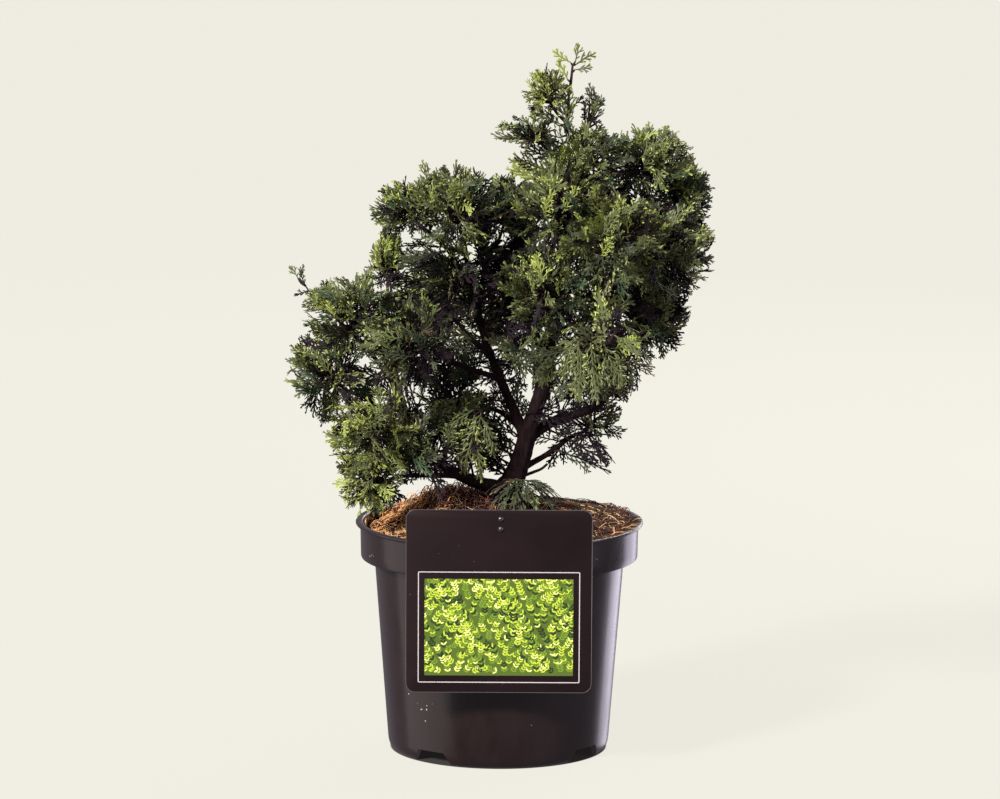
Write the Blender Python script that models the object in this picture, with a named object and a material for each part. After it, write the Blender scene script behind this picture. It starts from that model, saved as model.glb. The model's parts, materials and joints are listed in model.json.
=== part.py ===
"""A dwarf hinoki cypress growing in a round nursery pot, with a plant label hung on the rim.

Metres, +Z up. The origin is the middle of the flat pad under the pot, and -Y is the front.
"""

import math
import random
from dataclasses import dataclass

import bmesh
import bpy
from mathutils import Euler, Vector
from mathutils.bvhtree import BVHTree

# Pot: a 190 mm container with a stepped collar, a lip and four drainage notches in its foot
POT_HEIGHT = 0.152
FOOT_RADIUS = 0.0725
SHOULDER_RADIUS = 0.0825
COLLAR_RADIUS = 0.0915
LIP_RADIUS = 0.095
COLLAR_HEIGHT = 0.024
COLLAR_FLARE = 0.0004
LIP_HEIGHT = 0.0018
LIP_SLOPE = 0.0008
WALL = 0.0016
FLOOR_HEIGHT = 0.0092
FOOT_CURVE = ((0.0008, 0.007), (0.0, 0.003), (-0.0022, 0.0))
FOOT_RING = 0.0020
RING_SLOPE = 0.0008
PAD_RADIUS = 0.016
PAD_SLOPE = 0.001
POT_SEGMENTS = 40
NOTCH_COUNT = 4
NOTCH_FIRST_ANGLE = math.radians(-37.5)
NOTCH_WIDTH = 0.027
NOTCH_TOP_WIDTH = 0.019
NOTCH_HEIGHT = 0.0085
NOTCH_BOTTOM = -0.002
NOTCH_REACH = (FOOT_RADIUS - 0.012, FOOT_RADIUS + 0.006)

# Soil: a filled root ball that rises to a mound at the trunk
SOIL_EDGE_DROP = 0.0058
MOUND_TOP = 0.1630
MOUND_FLAT_RADIUS = 0.019
SOIL_RINGS = 4
SOIL_UNEVEN = 0.0006
SOIL_WAVES = 4
SOIL_WAVE_TURN = 40
SOIL_ROUNDING = 1.1
SOIL_SEED = 11

# Label: a square card held by a clip over the rim
LABEL_SIDE = 0.120
LABEL_TOP = 0.1765
LABEL_THICKNESS = 0.0008
LABEL_CORNER = 0.006
LABEL_FRONT = -0.0972
CLIP_WIDTH = 0.014
CLIP_THICKNESS = 0.0010
CLIP_BACK = 0.0016
CLIP_TOP = 0.1715
CLIP_LEG = 0.0050

GAP = 0.0003

# Trunk: leans to the right, forks low down and runs on up to the leader
TRUNK_LINE = (
    (0.000, 0.000, MOUND_TOP + GAP),
    (0.010, 0.000, 0.182),
    (0.019, 0.000, 0.212),
    (0.030, 0.000, 0.250),
    (0.036, 0.000, 0.306),
    (0.046, 0.000, 0.368),
    (0.043, -0.001, 0.412),
    (0.044, -0.003, 0.436),
)
TRUNK_RADIUS = 0.0076
TRUNK_TIP_RADIUS = 0.0012
TRUNK_TAPER_POWER = 1.8
ROOT_FLARE = 0.0048
ROOT_FLARE_REACH = 0.035
TRUNK_SIDES = 8
TRUNK_RINGS = 18
LIMB_SIDES = 6
LIMB_RINGS = 6
LIMB_TAPER_POWER = 0.8
CURVE_STEPS = 12

# Foliage: flat toothed fans on three-sided twigs
FAN_THICKNESS = 0.0018
FAN_LOBE_ANGLES = tuple(math.radians(a) for a in (-54, -27, 0, 27, 54))
FAN_NOTCH = 0.64
FAN_MIDDLE = 0.40
FAN_SHORTEST_LOBE = 0.55
FAN_LOBE_RANGE = (0.86, 1.0)
FAN_SHRINK = (1.0, 0.8, 0.62)
FAN_TURNS = 6
CROSSING_COST = 0.0004
SHORTEST_FAN = 0.010
TWIG_RADIUS = 0.0013
TWIG_TIP_RADIUS = 0.0009
TWIG_SHARE = 0.30
LONGEST_TWIG = 1.3
CORE_TWIG_SHARE = 0.6
CORE_LUMPS = (0.85, 1.15)
SUNK = 0.0015
STEM_PAST_MIDDLE = 0.15
TWIGS_START = 0.5
TWIGS_WIDEST = 1.5
FANS_WIDEST = 1.9
FAN_FOOT_RANGE = (0.7, 0.98)
GOLDEN_ANGLE = math.pi * (3 - math.sqrt(5))
LIMB_CLEARANCE = 0.0010
LIMB_NEAR = 0.020
ROOM_STEPS = 20
NEAR = 0.000002
WHOLE_SHARE = 0.85


@dataclass
class Limb:
    """One tapering bough: where along its parent it leaves, its two radii, and the points it runs through."""

    name: str
    parent: str
    along: float
    radius: float
    tip_radius: float
    through: tuple


@dataclass
class Mass:
    """One mass of fans.

    It has a limb and the share of the limb's length where its stem starts, a middle, a reach along
    X, Y and Z, a count of fans and of side twigs, a lift that bends growth up or down, the longest lobe
    that a fan may have, and the share of its space that its core fills.
    """

    name: str
    limb: str
    middle: tuple
    reach: tuple
    fans: int
    along: float = 1.0
    lift: float = 0.2
    longest: float = 0.036
    twigs: int = 2
    core: float = 0.40


LIMBS = (
    Limb("bough_left", "trunk", 0.035, 0.0046, 0.0020,
         ((-0.014, -0.003, 0.177), (-0.044, -0.010, 0.195), (-0.061, -0.013, 0.224),
          (-0.077, -0.019, 0.268))),
    Limb("bough_left_out", "bough_left", 0.55, 0.0026, 0.0015,
         ((-0.072, -0.011, 0.222), (-0.089, -0.013, 0.236))),
    Limb("bough_left_low", "bough_left", 0.40, 0.0022, 0.0014,
         ((-0.054, -0.022, 0.202), (-0.065, -0.033, 0.209))),
    Limb("bough_left_foot", "bough_left", 0.24, 0.0022, 0.0014,
         ((-0.048, -0.024, 0.186), (-0.067, -0.033, 0.187))),
    Limb("bough_far_tip", "bough_left", 0.82, 0.0018, 0.0011,
         ((-0.088, -0.009, 0.268), (-0.109, -0.003, 0.288))),
    Limb("bough_left_spire", "bough_left", 0.72, 0.0019, 0.0012,
         ((-0.073, -0.002, 0.272), (-0.074, -0.008, 0.300))),
    Limb("stem_left", "trunk", 0.165, 0.0037, 0.0017,
         ((0.005, 0.001, 0.235), (-0.002, 0.004, 0.250), (-0.015, 0.002, 0.290), (-0.025, -0.012, 0.342))),
    Limb("bough_upper_far", "stem_left", 0.72, 0.0018, 0.0012,
         ((-0.033, -0.002, 0.330), (-0.047, -0.009, 0.345))),
    Limb("bough_upper_mid", "stem_left", 0.62, 0.0017, 0.0012,
         ((-0.010, 0.008, 0.322), (-0.001, 0.007, 0.338))),
    Limb("bough_left_inner", "stem_left", 0.30, 0.0021, 0.0013,
         ((-0.020, -0.018, 0.256), (-0.042, -0.036, 0.268))),
    Limb("bough_back_left", "stem_left", 0.42, 0.0022, 0.0014,
         ((-0.022, 0.026, 0.272), (-0.037, 0.048, 0.288))),
    Limb("bough_centre_left", "stem_left", 0.06, 0.0021, 0.0013,
         ((0.000, 0.016, 0.222), (-0.015, 0.030, 0.223))),
    Limb("bough_right", "trunk", 0.17, 0.0040, 0.0018,
         ((0.040, 0.010, 0.219), (0.065, 0.018, 0.226), (0.086, 0.017, 0.262))),
    Limb("bough_right_low", "trunk", 0.085, 0.0023, 0.0014,
         ((0.030, 0.008, 0.194), (0.043, 0.018, 0.202), (0.050, 0.027, 0.205))),
    Limb("bough_right_mid", "trunk", 0.46, 0.0026, 0.0015,
         ((0.062, -0.004, 0.305), (0.087, -0.010, 0.322))),
    Limb("bough_right_shoulder", "trunk", 0.67, 0.0021, 0.0013,
         ((0.062, 0.003, 0.364), (0.082, 0.005, 0.374))),
    Limb("bough_right_edge", "bough_right_mid", 0.55, 0.0018, 0.0012,
         ((0.087, 0.014, 0.330), (0.104, 0.021, 0.350))),
    Limb("bough_centre_right", "trunk", 0.50, 0.0024, 0.0014,
         ((0.055, -0.024, 0.318), (0.067, -0.046, 0.334))),
    Limb("bough_right_hanging", "trunk", 0.36, 0.0024, 0.0014,
         ((0.048, -0.026, 0.276), (0.060, -0.049, 0.281))),
    Limb("bough_centre_upper", "trunk", 0.58, 0.0020, 0.0013,
         ((0.042, -0.018, 0.343), (0.039, -0.031, 0.353))),
    Limb("bough_centre_back", "trunk", 0.32, 0.0023, 0.0014,
         ((0.022, 0.024, 0.256), (0.011, 0.044, 0.263))),
    Limb("bough_back_upper", "trunk", 0.53, 0.0023, 0.0014,
         ((0.048, 0.030, 0.325), (0.054, 0.056, 0.338))),
    Limb("bough_back_right", "trunk", 0.42, 0.0025, 0.0014,
         ((0.060, 0.030, 0.285), (0.084, 0.055, 0.298))),
    Limb("stub_right", "trunk", 0.065, 0.0012, 0.0008,
         ((0.027, 0.004, 0.1855), (0.0315, 0.005, 0.189))),
)

MASSES = (
    Mass("leader", "trunk", (0.046, -0.005, 0.453), (0.016, 0.015, 0.018), 3, 1.0, 0.8, 0.018, core=0),
    Mass("sprays_tip_left", "trunk", (0.027, -0.012, 0.437), (0.020, 0.018, 0.019),
         3, 0.93, 0.2, 0.022, core=0),
    Mass("sprays_upper_fan", "trunk", (0.018, -0.018, 0.408), (0.026, 0.027, 0.019),
         3, 0.84, 0.0, 0.026, core=0),
    Mass("sprays_tip_right", "trunk", (0.063, 0.008, 0.420), (0.014, 0.019, 0.023),
         3, 0.86, 0.6, 0.024, core=0),
    Mass("sprays_top_centre", "trunk", (0.056, -0.018, 0.394), (0.029, 0.032, 0.026), 6, 0.79),
    Mass("sprays_right_shoulder", "bough_right_shoulder", (0.098, 0.005, 0.388), (0.031, 0.037, 0.028), 7),
    Mass("sprays_right_edge", "bough_right_edge", (0.118, 0.026, 0.364), (0.024, 0.037, 0.030), 7),
    Mass("sprays_right_mid", "bough_right_mid", (0.108, -0.015, 0.334), (0.037, 0.039, 0.033), 6),
    Mass("sprays_centre_upper", "bough_centre_upper", (0.038, -0.046, 0.364), (0.035, 0.037, 0.033), 6),
    Mass("sprays_centre_right", "bough_centre_right", (0.074, -0.061, 0.347), (0.035, 0.037, 0.035), 6),
    Mass("sprays_right_low", "bough_right", (0.099, 0.014, 0.286), (0.035, 0.038, 0.033), 6),
    Mass("sprays_right_hanging", "bough_right_hanging", (0.067, -0.066, 0.276), (0.036, 0.038, 0.037),
         6, 1.0, -0.6),
    Mass("sprays_centre_mid", "trunk", (0.028, -0.042, 0.313), (0.032, 0.037, 0.031), 6, 0.45, -0.1),
    Mass("sprays_upper_left_far", "bough_upper_far", (-0.061, -0.014, 0.358), (0.027, 0.033, 0.027), 7),
    Mass("sprays_upper_left", "stem_left", (-0.030, -0.030, 0.363), (0.032, 0.037, 0.031), 7),
    Mass("sprays_upper_mid", "bough_upper_mid", (0.003, 0.006, 0.355), (0.028, 0.034, 0.029), 7),
    Mass("sprays_left_spire", "bough_left_spire", (-0.074, -0.010, 0.321), (0.015, 0.018, 0.024),
         3, 1.0, 0.8, 0.026, core=0),
    Mass("sprays_far_left_tip", "bough_far_tip", (-0.125, 0.000, 0.304), (0.020, 0.019, 0.020),
         3, 1.0, 0.3, 0.024, core=0),
    Mass("sprays_left_upper", "bough_left", (-0.098, -0.028, 0.293), (0.033, 0.038, 0.029), 7),
    Mass("sprays_left_mid", "bough_left_out", (-0.112, -0.015, 0.252), (0.031, 0.038, 0.031), 7, 1.0, -0.1),
    Mass("sprays_left_inner", "bough_left_inner", (-0.058, -0.050, 0.279), (0.033, 0.037, 0.033),
         6, 1.0, -0.1),
    Mass("sprays_left_low", "bough_left_low", (-0.083, -0.045, 0.220), (0.033, 0.037, 0.031), 7, 1.0, -0.5),
    Mass("sprays_left_foot", "bough_left_foot", (-0.083, -0.040, 0.186), (0.026, 0.029, 0.027),
         6, 1.0, -0.6, 0.030),
    Mass("sprays_centre_left", "bough_centre_left", (-0.027, 0.040, 0.227), (0.035, 0.037, 0.037),
         3, core=0),
    Mass("sprays_centre_back", "bough_centre_back", (0.006, 0.058, 0.268), (0.037, 0.037, 0.033),
         3, core=0),
    Mass("sprays_low_right", "bough_right_low", (0.061, 0.036, 0.207), (0.029, 0.030, 0.028),
         3, 1.0, -0.3, 0.030, core=0),
    Mass("sprays_foot", "trunk", (0.021, -0.026, 0.176), (0.022, 0.020, 0.010),
         2, 0.03, 0.0, 0.020, core=0),
    Mass("sprays_back_upper", "bough_back_upper", (0.057, 0.074, 0.345), (0.037, 0.038, 0.038), 6),
    Mass("sprays_back_left", "bough_back_left", (-0.048, 0.064, 0.299), (0.038, 0.039, 0.038), 6),
    Mass("sprays_back_right", "bough_back_right", (0.097, 0.069, 0.305), (0.037, 0.039, 0.038), 6),
)


def clear_scene():
    """Empties the file that the script runs in."""
    for old in list(bpy.data.objects):
        bpy.data.objects.remove(old)


def material(name, colour, roughness, metallic=0.0):
    """A Principled material of one colour."""
    made = bpy.data.materials.new(name)
    made.use_nodes = True
    shader = made.node_tree.nodes["Principled BSDF"]
    shader.inputs["Base Color"].default_value = (*colour, 1.0)
    shader.inputs["Roughness"].default_value = roughness
    shader.inputs["Metallic"].default_value = metallic
    return made


def place(name, points, faces, finish=None):
    """A new object in the scene from points and faces, with its normals turned out."""
    mesh = bpy.data.meshes.new(name)
    mesh.from_pydata([tuple(p) for p in points], [], faces)
    shape = bmesh.new()
    shape.from_mesh(mesh)
    bmesh.ops.recalc_face_normals(shape, faces=shape.faces)
    shape.to_mesh(mesh)
    shape.free()
    if finish:
        mesh.materials.append(finish)
    made = bpy.data.objects.new(name, mesh)
    bpy.context.scene.collection.objects.link(made)
    return made


def apply_modifiers(made):
    """Replaces an object's mesh with what its modifiers make of it."""
    bpy.context.view_layer.update()
    graph = bpy.context.evaluated_depsgraph_get()
    evaluated = made.evaluated_get(graph)
    mesh = bpy.data.meshes.new_from_object(evaluated, preserve_all_data_layers=True, depsgraph=graph)
    made.modifiers.clear()
    made.data = mesh


def combine(made, others, operation, solver="EXACT"):
    """Joins or cuts one object with several others by one Boolean, applies it and removes the others."""
    tools = bpy.data.collections.new(made.name + "_tools")
    bpy.context.scene.collection.children.link(tools)
    for other in others:
        tools.objects.link(other)
    boolean = made.modifiers.new(operation.title(), "BOOLEAN")
    boolean.operation = operation
    boolean.operand_type = "COLLECTION"
    boolean.collection = tools
    boolean.solver = solver
    apply_modifiers(made)
    for other in others:
        bpy.data.objects.remove(other)
    bpy.data.collections.remove(tools)


def smooth(made, angle=35):
    """Shades an object smooth, apart from its sharp edges."""
    made.data.shade_smooth()
    made.data.set_sharp_from_angle(angle=math.radians(angle))


def spun(name, profile, segments, finish, height_at=None):
    """A solid of revolution about Z. The profile runs from the axis round to the axis again."""
    points = []
    rings = []
    for radius, height in profile:
        if radius == 0:
            points.append((0, 0, height))
            rings.append([len(points) - 1] * segments)
            continue
        ring = []
        for step in range(segments):
            angle = 2 * math.pi * step / segments
            rise = height_at(radius, height, angle) if height_at else 0
            points.append((radius * math.cos(angle), radius * math.sin(angle), height + rise))
            ring.append(len(points) - 1)
        rings.append(ring)
    faces = []
    for low, high in zip(rings, rings[1:]):
        for step in range(segments):
            after = (step + 1) % segments
            corners = [low[step], low[after], high[after], high[step]]
            faces.append(list(dict.fromkeys(corners)))
    return place(name, points, faces, finish)


def pot_profile():
    """Radius and height of the pot's section, down the inside, across the floor and up the outside."""
    shoulder = POT_HEIGHT - COLLAR_HEIGHT
    floor_top = FLOOR_HEIGHT + WALL
    foot = [(FOOT_RADIUS + out, height) for out, height in FOOT_CURVE]
    ring = foot[-1][0] - FOOT_RING
    return (
        (0, floor_top),
        (FOOT_RADIUS - WALL, floor_top),
        (SHOULDER_RADIUS - WALL, shoulder + WALL),
        (COLLAR_RADIUS - WALL, shoulder + WALL),
        (COLLAR_RADIUS + COLLAR_FLARE - WALL, POT_HEIGHT),
        (LIP_RADIUS, POT_HEIGHT),
        (LIP_RADIUS, POT_HEIGHT - LIP_HEIGHT),
        (COLLAR_RADIUS + COLLAR_FLARE, POT_HEIGHT - LIP_HEIGHT - LIP_SLOPE),
        (COLLAR_RADIUS, shoulder),
        (SHOULDER_RADIUS, shoulder),
        *foot,
        (ring, 0),
        (ring + RING_SLOPE, FLOOR_HEIGHT),
        (PAD_RADIUS + PAD_SLOPE, FLOOR_HEIGHT),
        (PAD_RADIUS, 0),
        (0, 0),
    )


def notch_cutter(angle):
    """A wedge that opens one drainage notch in the foot, at an angle from the front."""
    outward = Vector((math.sin(angle), -math.cos(angle), 0))
    across = Vector((math.cos(angle), math.sin(angle), 0))
    points = []
    for reach in NOTCH_REACH:
        for width, height in ((NOTCH_WIDTH, NOTCH_BOTTOM), (NOTCH_TOP_WIDTH, NOTCH_HEIGHT)):
            for side in (-0.5, 0.5):
                points.append(outward * reach + across * (side * width) + Vector((0, 0, height)))
    faces = [(0, 1, 3, 2), (4, 5, 7, 6), (0, 1, 5, 4), (2, 3, 7, 6), (0, 2, 6, 4), (1, 3, 7, 5)]
    return place("notch", points, faces)


def make_pot(finish):
    """The nursery pot with its floor, pad, collar, lip and drainage notches."""
    pot = spun("pot", pot_profile(), POT_SEGMENTS, finish)
    turn = 2 * math.pi / NOTCH_COUNT
    cutters = [notch_cutter(NOTCH_FIRST_ANGLE + turn * step) for step in range(NOTCH_COUNT)]
    combine(pot, cutters, "DIFFERENCE")
    smooth(pot)


def make_soil(finish):
    """The root ball: it fills the pot, dips at the rim and rises to a flat place under the trunk."""
    shoulder = POT_HEIGHT - COLLAR_HEIGHT
    floor_top = FLOOR_HEIGHT + WALL + GAP
    edge = COLLAR_RADIUS - WALL - GAP
    edge_height = POT_HEIGHT - SOIL_EDGE_DROP
    profile = [
        (0, floor_top),
        (FOOT_RADIUS - WALL - GAP, floor_top),
        (SHOULDER_RADIUS - WALL - GAP, shoulder + WALL + GAP),
        (edge, shoulder + WALL + GAP),
        (edge, edge_height),
    ]
    for step in range(1, SOIL_RINGS + 1):
        share = step / SOIL_RINGS
        radius = edge + (MOUND_FLAT_RADIUS - edge) * share
        rise = math.sin(share * math.pi / 2) ** SOIL_ROUNDING
        profile.append((radius, edge_height + (MOUND_TOP - edge_height) * rise))
    profile.append((0, MOUND_TOP))
    dice = random.Random(SOIL_SEED)
    waves = [(dice.randint(2, 7), dice.uniform(0, 2 * math.pi)) for _ in range(SOIL_WAVES)]

    def uneven(radius, height, angle):
        """Lumps on the open surface, none at the wall or under the trunk."""
        if height <= edge_height or height >= MOUND_TOP:
            return 0
        return SOIL_UNEVEN * sum(math.sin(n * angle + at + SOIL_WAVE_TURN * radius) for n, at in waves)

    soil = spun("soil", profile, POT_SEGMENTS, finish, uneven)
    smooth(soil)


def rounded_card(side, corner, steps=4):
    """The outline of a square card with round corners, about its middle."""
    outline = []
    for quarter in range(4):
        middle = quarter * math.pi / 2
        hub = Vector((math.cos(middle + math.pi / 4), math.sin(middle + math.pi / 4)))
        hub *= (side / 2 - corner) * math.sqrt(2)
        for step in range(steps + 1):
            angle = middle + step * math.pi / 2 / steps
            outline.append((hub.x + corner * math.cos(angle), hub.y + corner * math.sin(angle)))
    return outline


def prism(name, outline, low, high, axis_point, finish=None):
    """A closed prism: the outline is given to axis_point, which turns it and a depth into a place."""
    count = len(outline)
    points = [axis_point(u, v, depth) for depth in (low, high) for u, v in outline]
    faces = [list(range(count)), list(range(2 * count - 1, count - 1, -1))]
    for step in range(count):
        after = (step + 1) % count
        faces.append([step, after, after + count, step + count])
    return place(name, points, faces, finish)


def make_label(finish):
    """The hanging label: a card in front of the rim and the clip that hooks it over the lip."""
    middle = LABEL_TOP - LABEL_SIDE / 2
    card = prism(
        "label",
        rounded_card(LABEL_SIDE, LABEL_CORNER),
        LABEL_FRONT,
        LABEL_FRONT + LABEL_THICKNESS,
        lambda u, v, depth: (u, depth, middle + v),
        finish,
    )
    back = LABEL_FRONT + LABEL_THICKNESS / 2
    inner = -(COLLAR_RADIUS - WALL) + GAP * 2
    over = POT_HEIGHT + GAP * 2
    strip = (
        (back, CLIP_TOP),
        (back, over),
        (inner, over),
        (inner, POT_HEIGHT - CLIP_LEG),
        (inner + CLIP_THICKNESS, POT_HEIGHT - CLIP_LEG),
        (inner + CLIP_THICKNESS, over + CLIP_THICKNESS),
        (back + CLIP_BACK, over + CLIP_THICKNESS),
        (back + CLIP_BACK, CLIP_TOP),
    )
    clip = prism("clip", strip, -CLIP_WIDTH / 2, CLIP_WIDTH / 2, lambda u, v, depth: (depth, u, v))
    combine(card, [clip], "UNION")


def smooth_line(points, count):
    """Evenly spaced points on a smooth curve through the given ones."""
    given = [Vector(p) for p in points]
    ends = [given[0] * 2 - given[1], *given, given[-1] * 2 - given[-2]]
    fine = []
    for before, start, end, after in zip(ends, ends[1:], ends[2:], ends[3:]):
        for step in range(CURVE_STEPS):
            t = step / CURVE_STEPS
            fine.append(
                0.5
                * (
                    2 * start
                    + (end - before) * t
                    + (2 * before - 5 * start + 4 * end - after) * t * t
                    + (3 * start - before - 3 * end + after) * t**3
                )
            )
    fine.append(given[-1])
    lengths = [0.0]
    for start, end in zip(fine, fine[1:]):
        lengths.append(lengths[-1] + (end - start).length)
    line = []
    at = 0
    for step in range(count):
        wanted = lengths[-1] * step / (count - 1)
        while at < len(fine) - 2 and lengths[at + 1] < wanted:
            at += 1
        share = (wanted - lengths[at]) / (lengths[at + 1] - lengths[at])
        line.append(fine[at].lerp(fine[at + 1], min(1.0, share)))
    return line


def tube_surface(line, radii, sides, flat_foot=False):
    """The points and faces of a closed tapering tube along a line of points."""
    points = []
    faces = []
    across = Vector((0, 1, 0))
    for step, (centre, radius) in enumerate(zip(line, radii)):
        before, after = line[max(0, step - 1)], line[min(len(line) - 1, step + 1)]
        along = (after - before).normalized()
        if step == 0 and flat_foot:
            along = Vector((0, 0, 1))
        across = (across - along * across.dot(along)).normalized()
        side = along.cross(across)
        for corner in range(sides):
            angle = 2 * math.pi * corner / sides
            points.append(centre + (across * math.cos(angle) + side * math.sin(angle)) * radius)
    for ring in range(len(line) - 1):
        for corner in range(sides):
            after = (corner + 1) % sides
            low, high = ring * sides, (ring + 1) * sides
            faces.append([low + corner, low + after, high + after, high + corner])
    last = (len(line) - 1) * sides
    faces.append(list(range(sides)))
    faces.append(list(range(last, last + sides)))
    return points, faces


def trunk_radius(share):
    """The trunk's radius at a share of its length, with the root flare at its foot."""
    taper = TRUNK_TIP_RADIUS + (TRUNK_RADIUS - TRUNK_TIP_RADIUS) * (1 - share) ** TRUNK_TAPER_POWER
    return taper + ROOT_FLARE * math.exp(-share / ROOT_FLARE_REACH)


def limb_shapes():
    """The centre line and radii of the trunk and of every bough, by name."""
    line = smooth_line(TRUNK_LINE, TRUNK_RINGS)
    shares = [step / (TRUNK_RINGS - 1) for step in range(TRUNK_RINGS)]
    shapes = {"trunk": (line, [trunk_radius(share) for share in shares])}
    for limb in LIMBS:
        parent_line, parent_radii = shapes[limb.parent]
        start = point_along(parent_line, limb.along)
        line = smooth_line((start, *limb.through), LIMB_RINGS)
        shares = [step / (LIMB_RINGS - 1) for step in range(LIMB_RINGS)]
        radii = [limb.radius + (limb.tip_radius - limb.radius) * share**LIMB_TAPER_POWER for share in shares]
        shapes[limb.name] = (line, radii)
    return shapes


def point_along(line, share):
    """The place at a share of the way along evenly spaced points."""
    at = share * (len(line) - 1)
    index = min(int(at), len(line) - 2)
    return line[index].lerp(line[index + 1], at - index)


def make_limbs(shapes, finish):
    """The trunk and the boughs, each bough cut back to stand just clear of its parent."""
    line, radii = shapes["trunk"]
    trunk = place("trunk", *tube_surface(line, radii, TRUNK_SIDES, flat_foot=True), finish)
    smooth(trunk, 60)
    for limb in LIMBS:
        line, radii = shapes[limb.name]
        bough = place(limb.name, *tube_surface(line, radii, LIMB_SIDES), finish)
        parent_line, parent_radii = shapes[limb.parent]
        sides = TRUNK_SIDES if limb.parent == "trunk" else LIMB_SIDES
        fat = place("clearance", *tube_surface(parent_line, [r + GAP for r in parent_radii], sides))
        combine(bough, [fat], "DIFFERENCE")
        smooth(bough, 60)


class Space:
    """Where one mass may grow: an ellipsoid, cut by a plane towards each neighbour, clear of limbs."""

    def __init__(self, mass, shapes):
        self.middle = Vector(mass.middle)
        self.reach = mass.reach
        self.planes = []
        size = self.size(mass)
        for other in MASSES:
            if other is mass:
                continue
            towards = Vector(other.middle) - self.middle
            distance = towards.length
            other_size = self.size(other)
            cut = (distance**2 + size**2 - other_size**2) / (2 * distance)
            self.planes.append((towards / distance, cut - GAP))
        self.limbs = [
            (start, end, max(low, high))
            for line, radii in shapes.values()
            for start, end, low, high in zip(line, line[1:], radii, radii[1:])
            if (start - self.middle).length < max(self.reach) + LIMB_NEAR
        ]

    @staticmethod
    def size(mass):
        """The mean reach of a mass, which says how far it pushes its neighbours back."""
        return sum(mass.reach) / 3

    def holds(self, point):
        """Whether a point is inside the space."""
        away = point - self.middle
        if sum((away[axis] / self.reach[axis]) ** 2 for axis in range(3)) > 1:
            return False
        return all(away.dot(direction) < cut for direction, cut in self.planes)

    def clear(self, point, margin):
        """Whether a point stays clear of the trunk and of every bough."""
        for start, end, radius in self.limbs:
            along = end - start
            share = max(0.0, min(1.0, (point - start).dot(along) / along.length_squared))
            if (point - start - along * share).length < radius + margin:
                return False
        return True

    def room(self, point, direction, longest):
        """How far a straight line runs from a point before it leaves the space or comes near a limb."""
        for step in range(1, ROOM_STEPS + 1):
            ahead = point + direction * (longest * step / ROOM_STEPS)
            if not (self.holds(ahead) and self.clear(ahead, LIMB_CLEARANCE + FAN_THICKNESS / 2)):
                return longest * (step - 1) / ROOM_STEPS
        return longest


def fan_surface(foot, along, facing, lobes):
    """The points and faces of one toothed fan, drawn out to a ridge on each side of its middle."""
    across = facing.cross(along)

    def at(angle, distance):
        return foot + (along * math.cos(angle) + across * math.sin(angle)) * distance

    corners = [foot - along * SUNK]
    for index, (angle, lobe) in enumerate(zip(FAN_LOBE_ANGLES, lobes)):
        if index:
            notch = FAN_NOTCH * min(lobe, lobes[index - 1])
            corners.append(at((angle + FAN_LOBE_ANGLES[index - 1]) / 2, notch))
        corners.append(at(angle, lobe))
    middle = foot + along * (FAN_MIDDLE * sum(lobes) / len(lobes))
    lift = facing * (FAN_THICKNESS / 2)
    count = len(corners)
    faces = []
    for step in range(count):
        after = (step + 1) % count
        faces.append([step, after, count])
        faces.append([after, step, count + 1])
    return [*corners, middle + lift, middle - lift], faces


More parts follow.
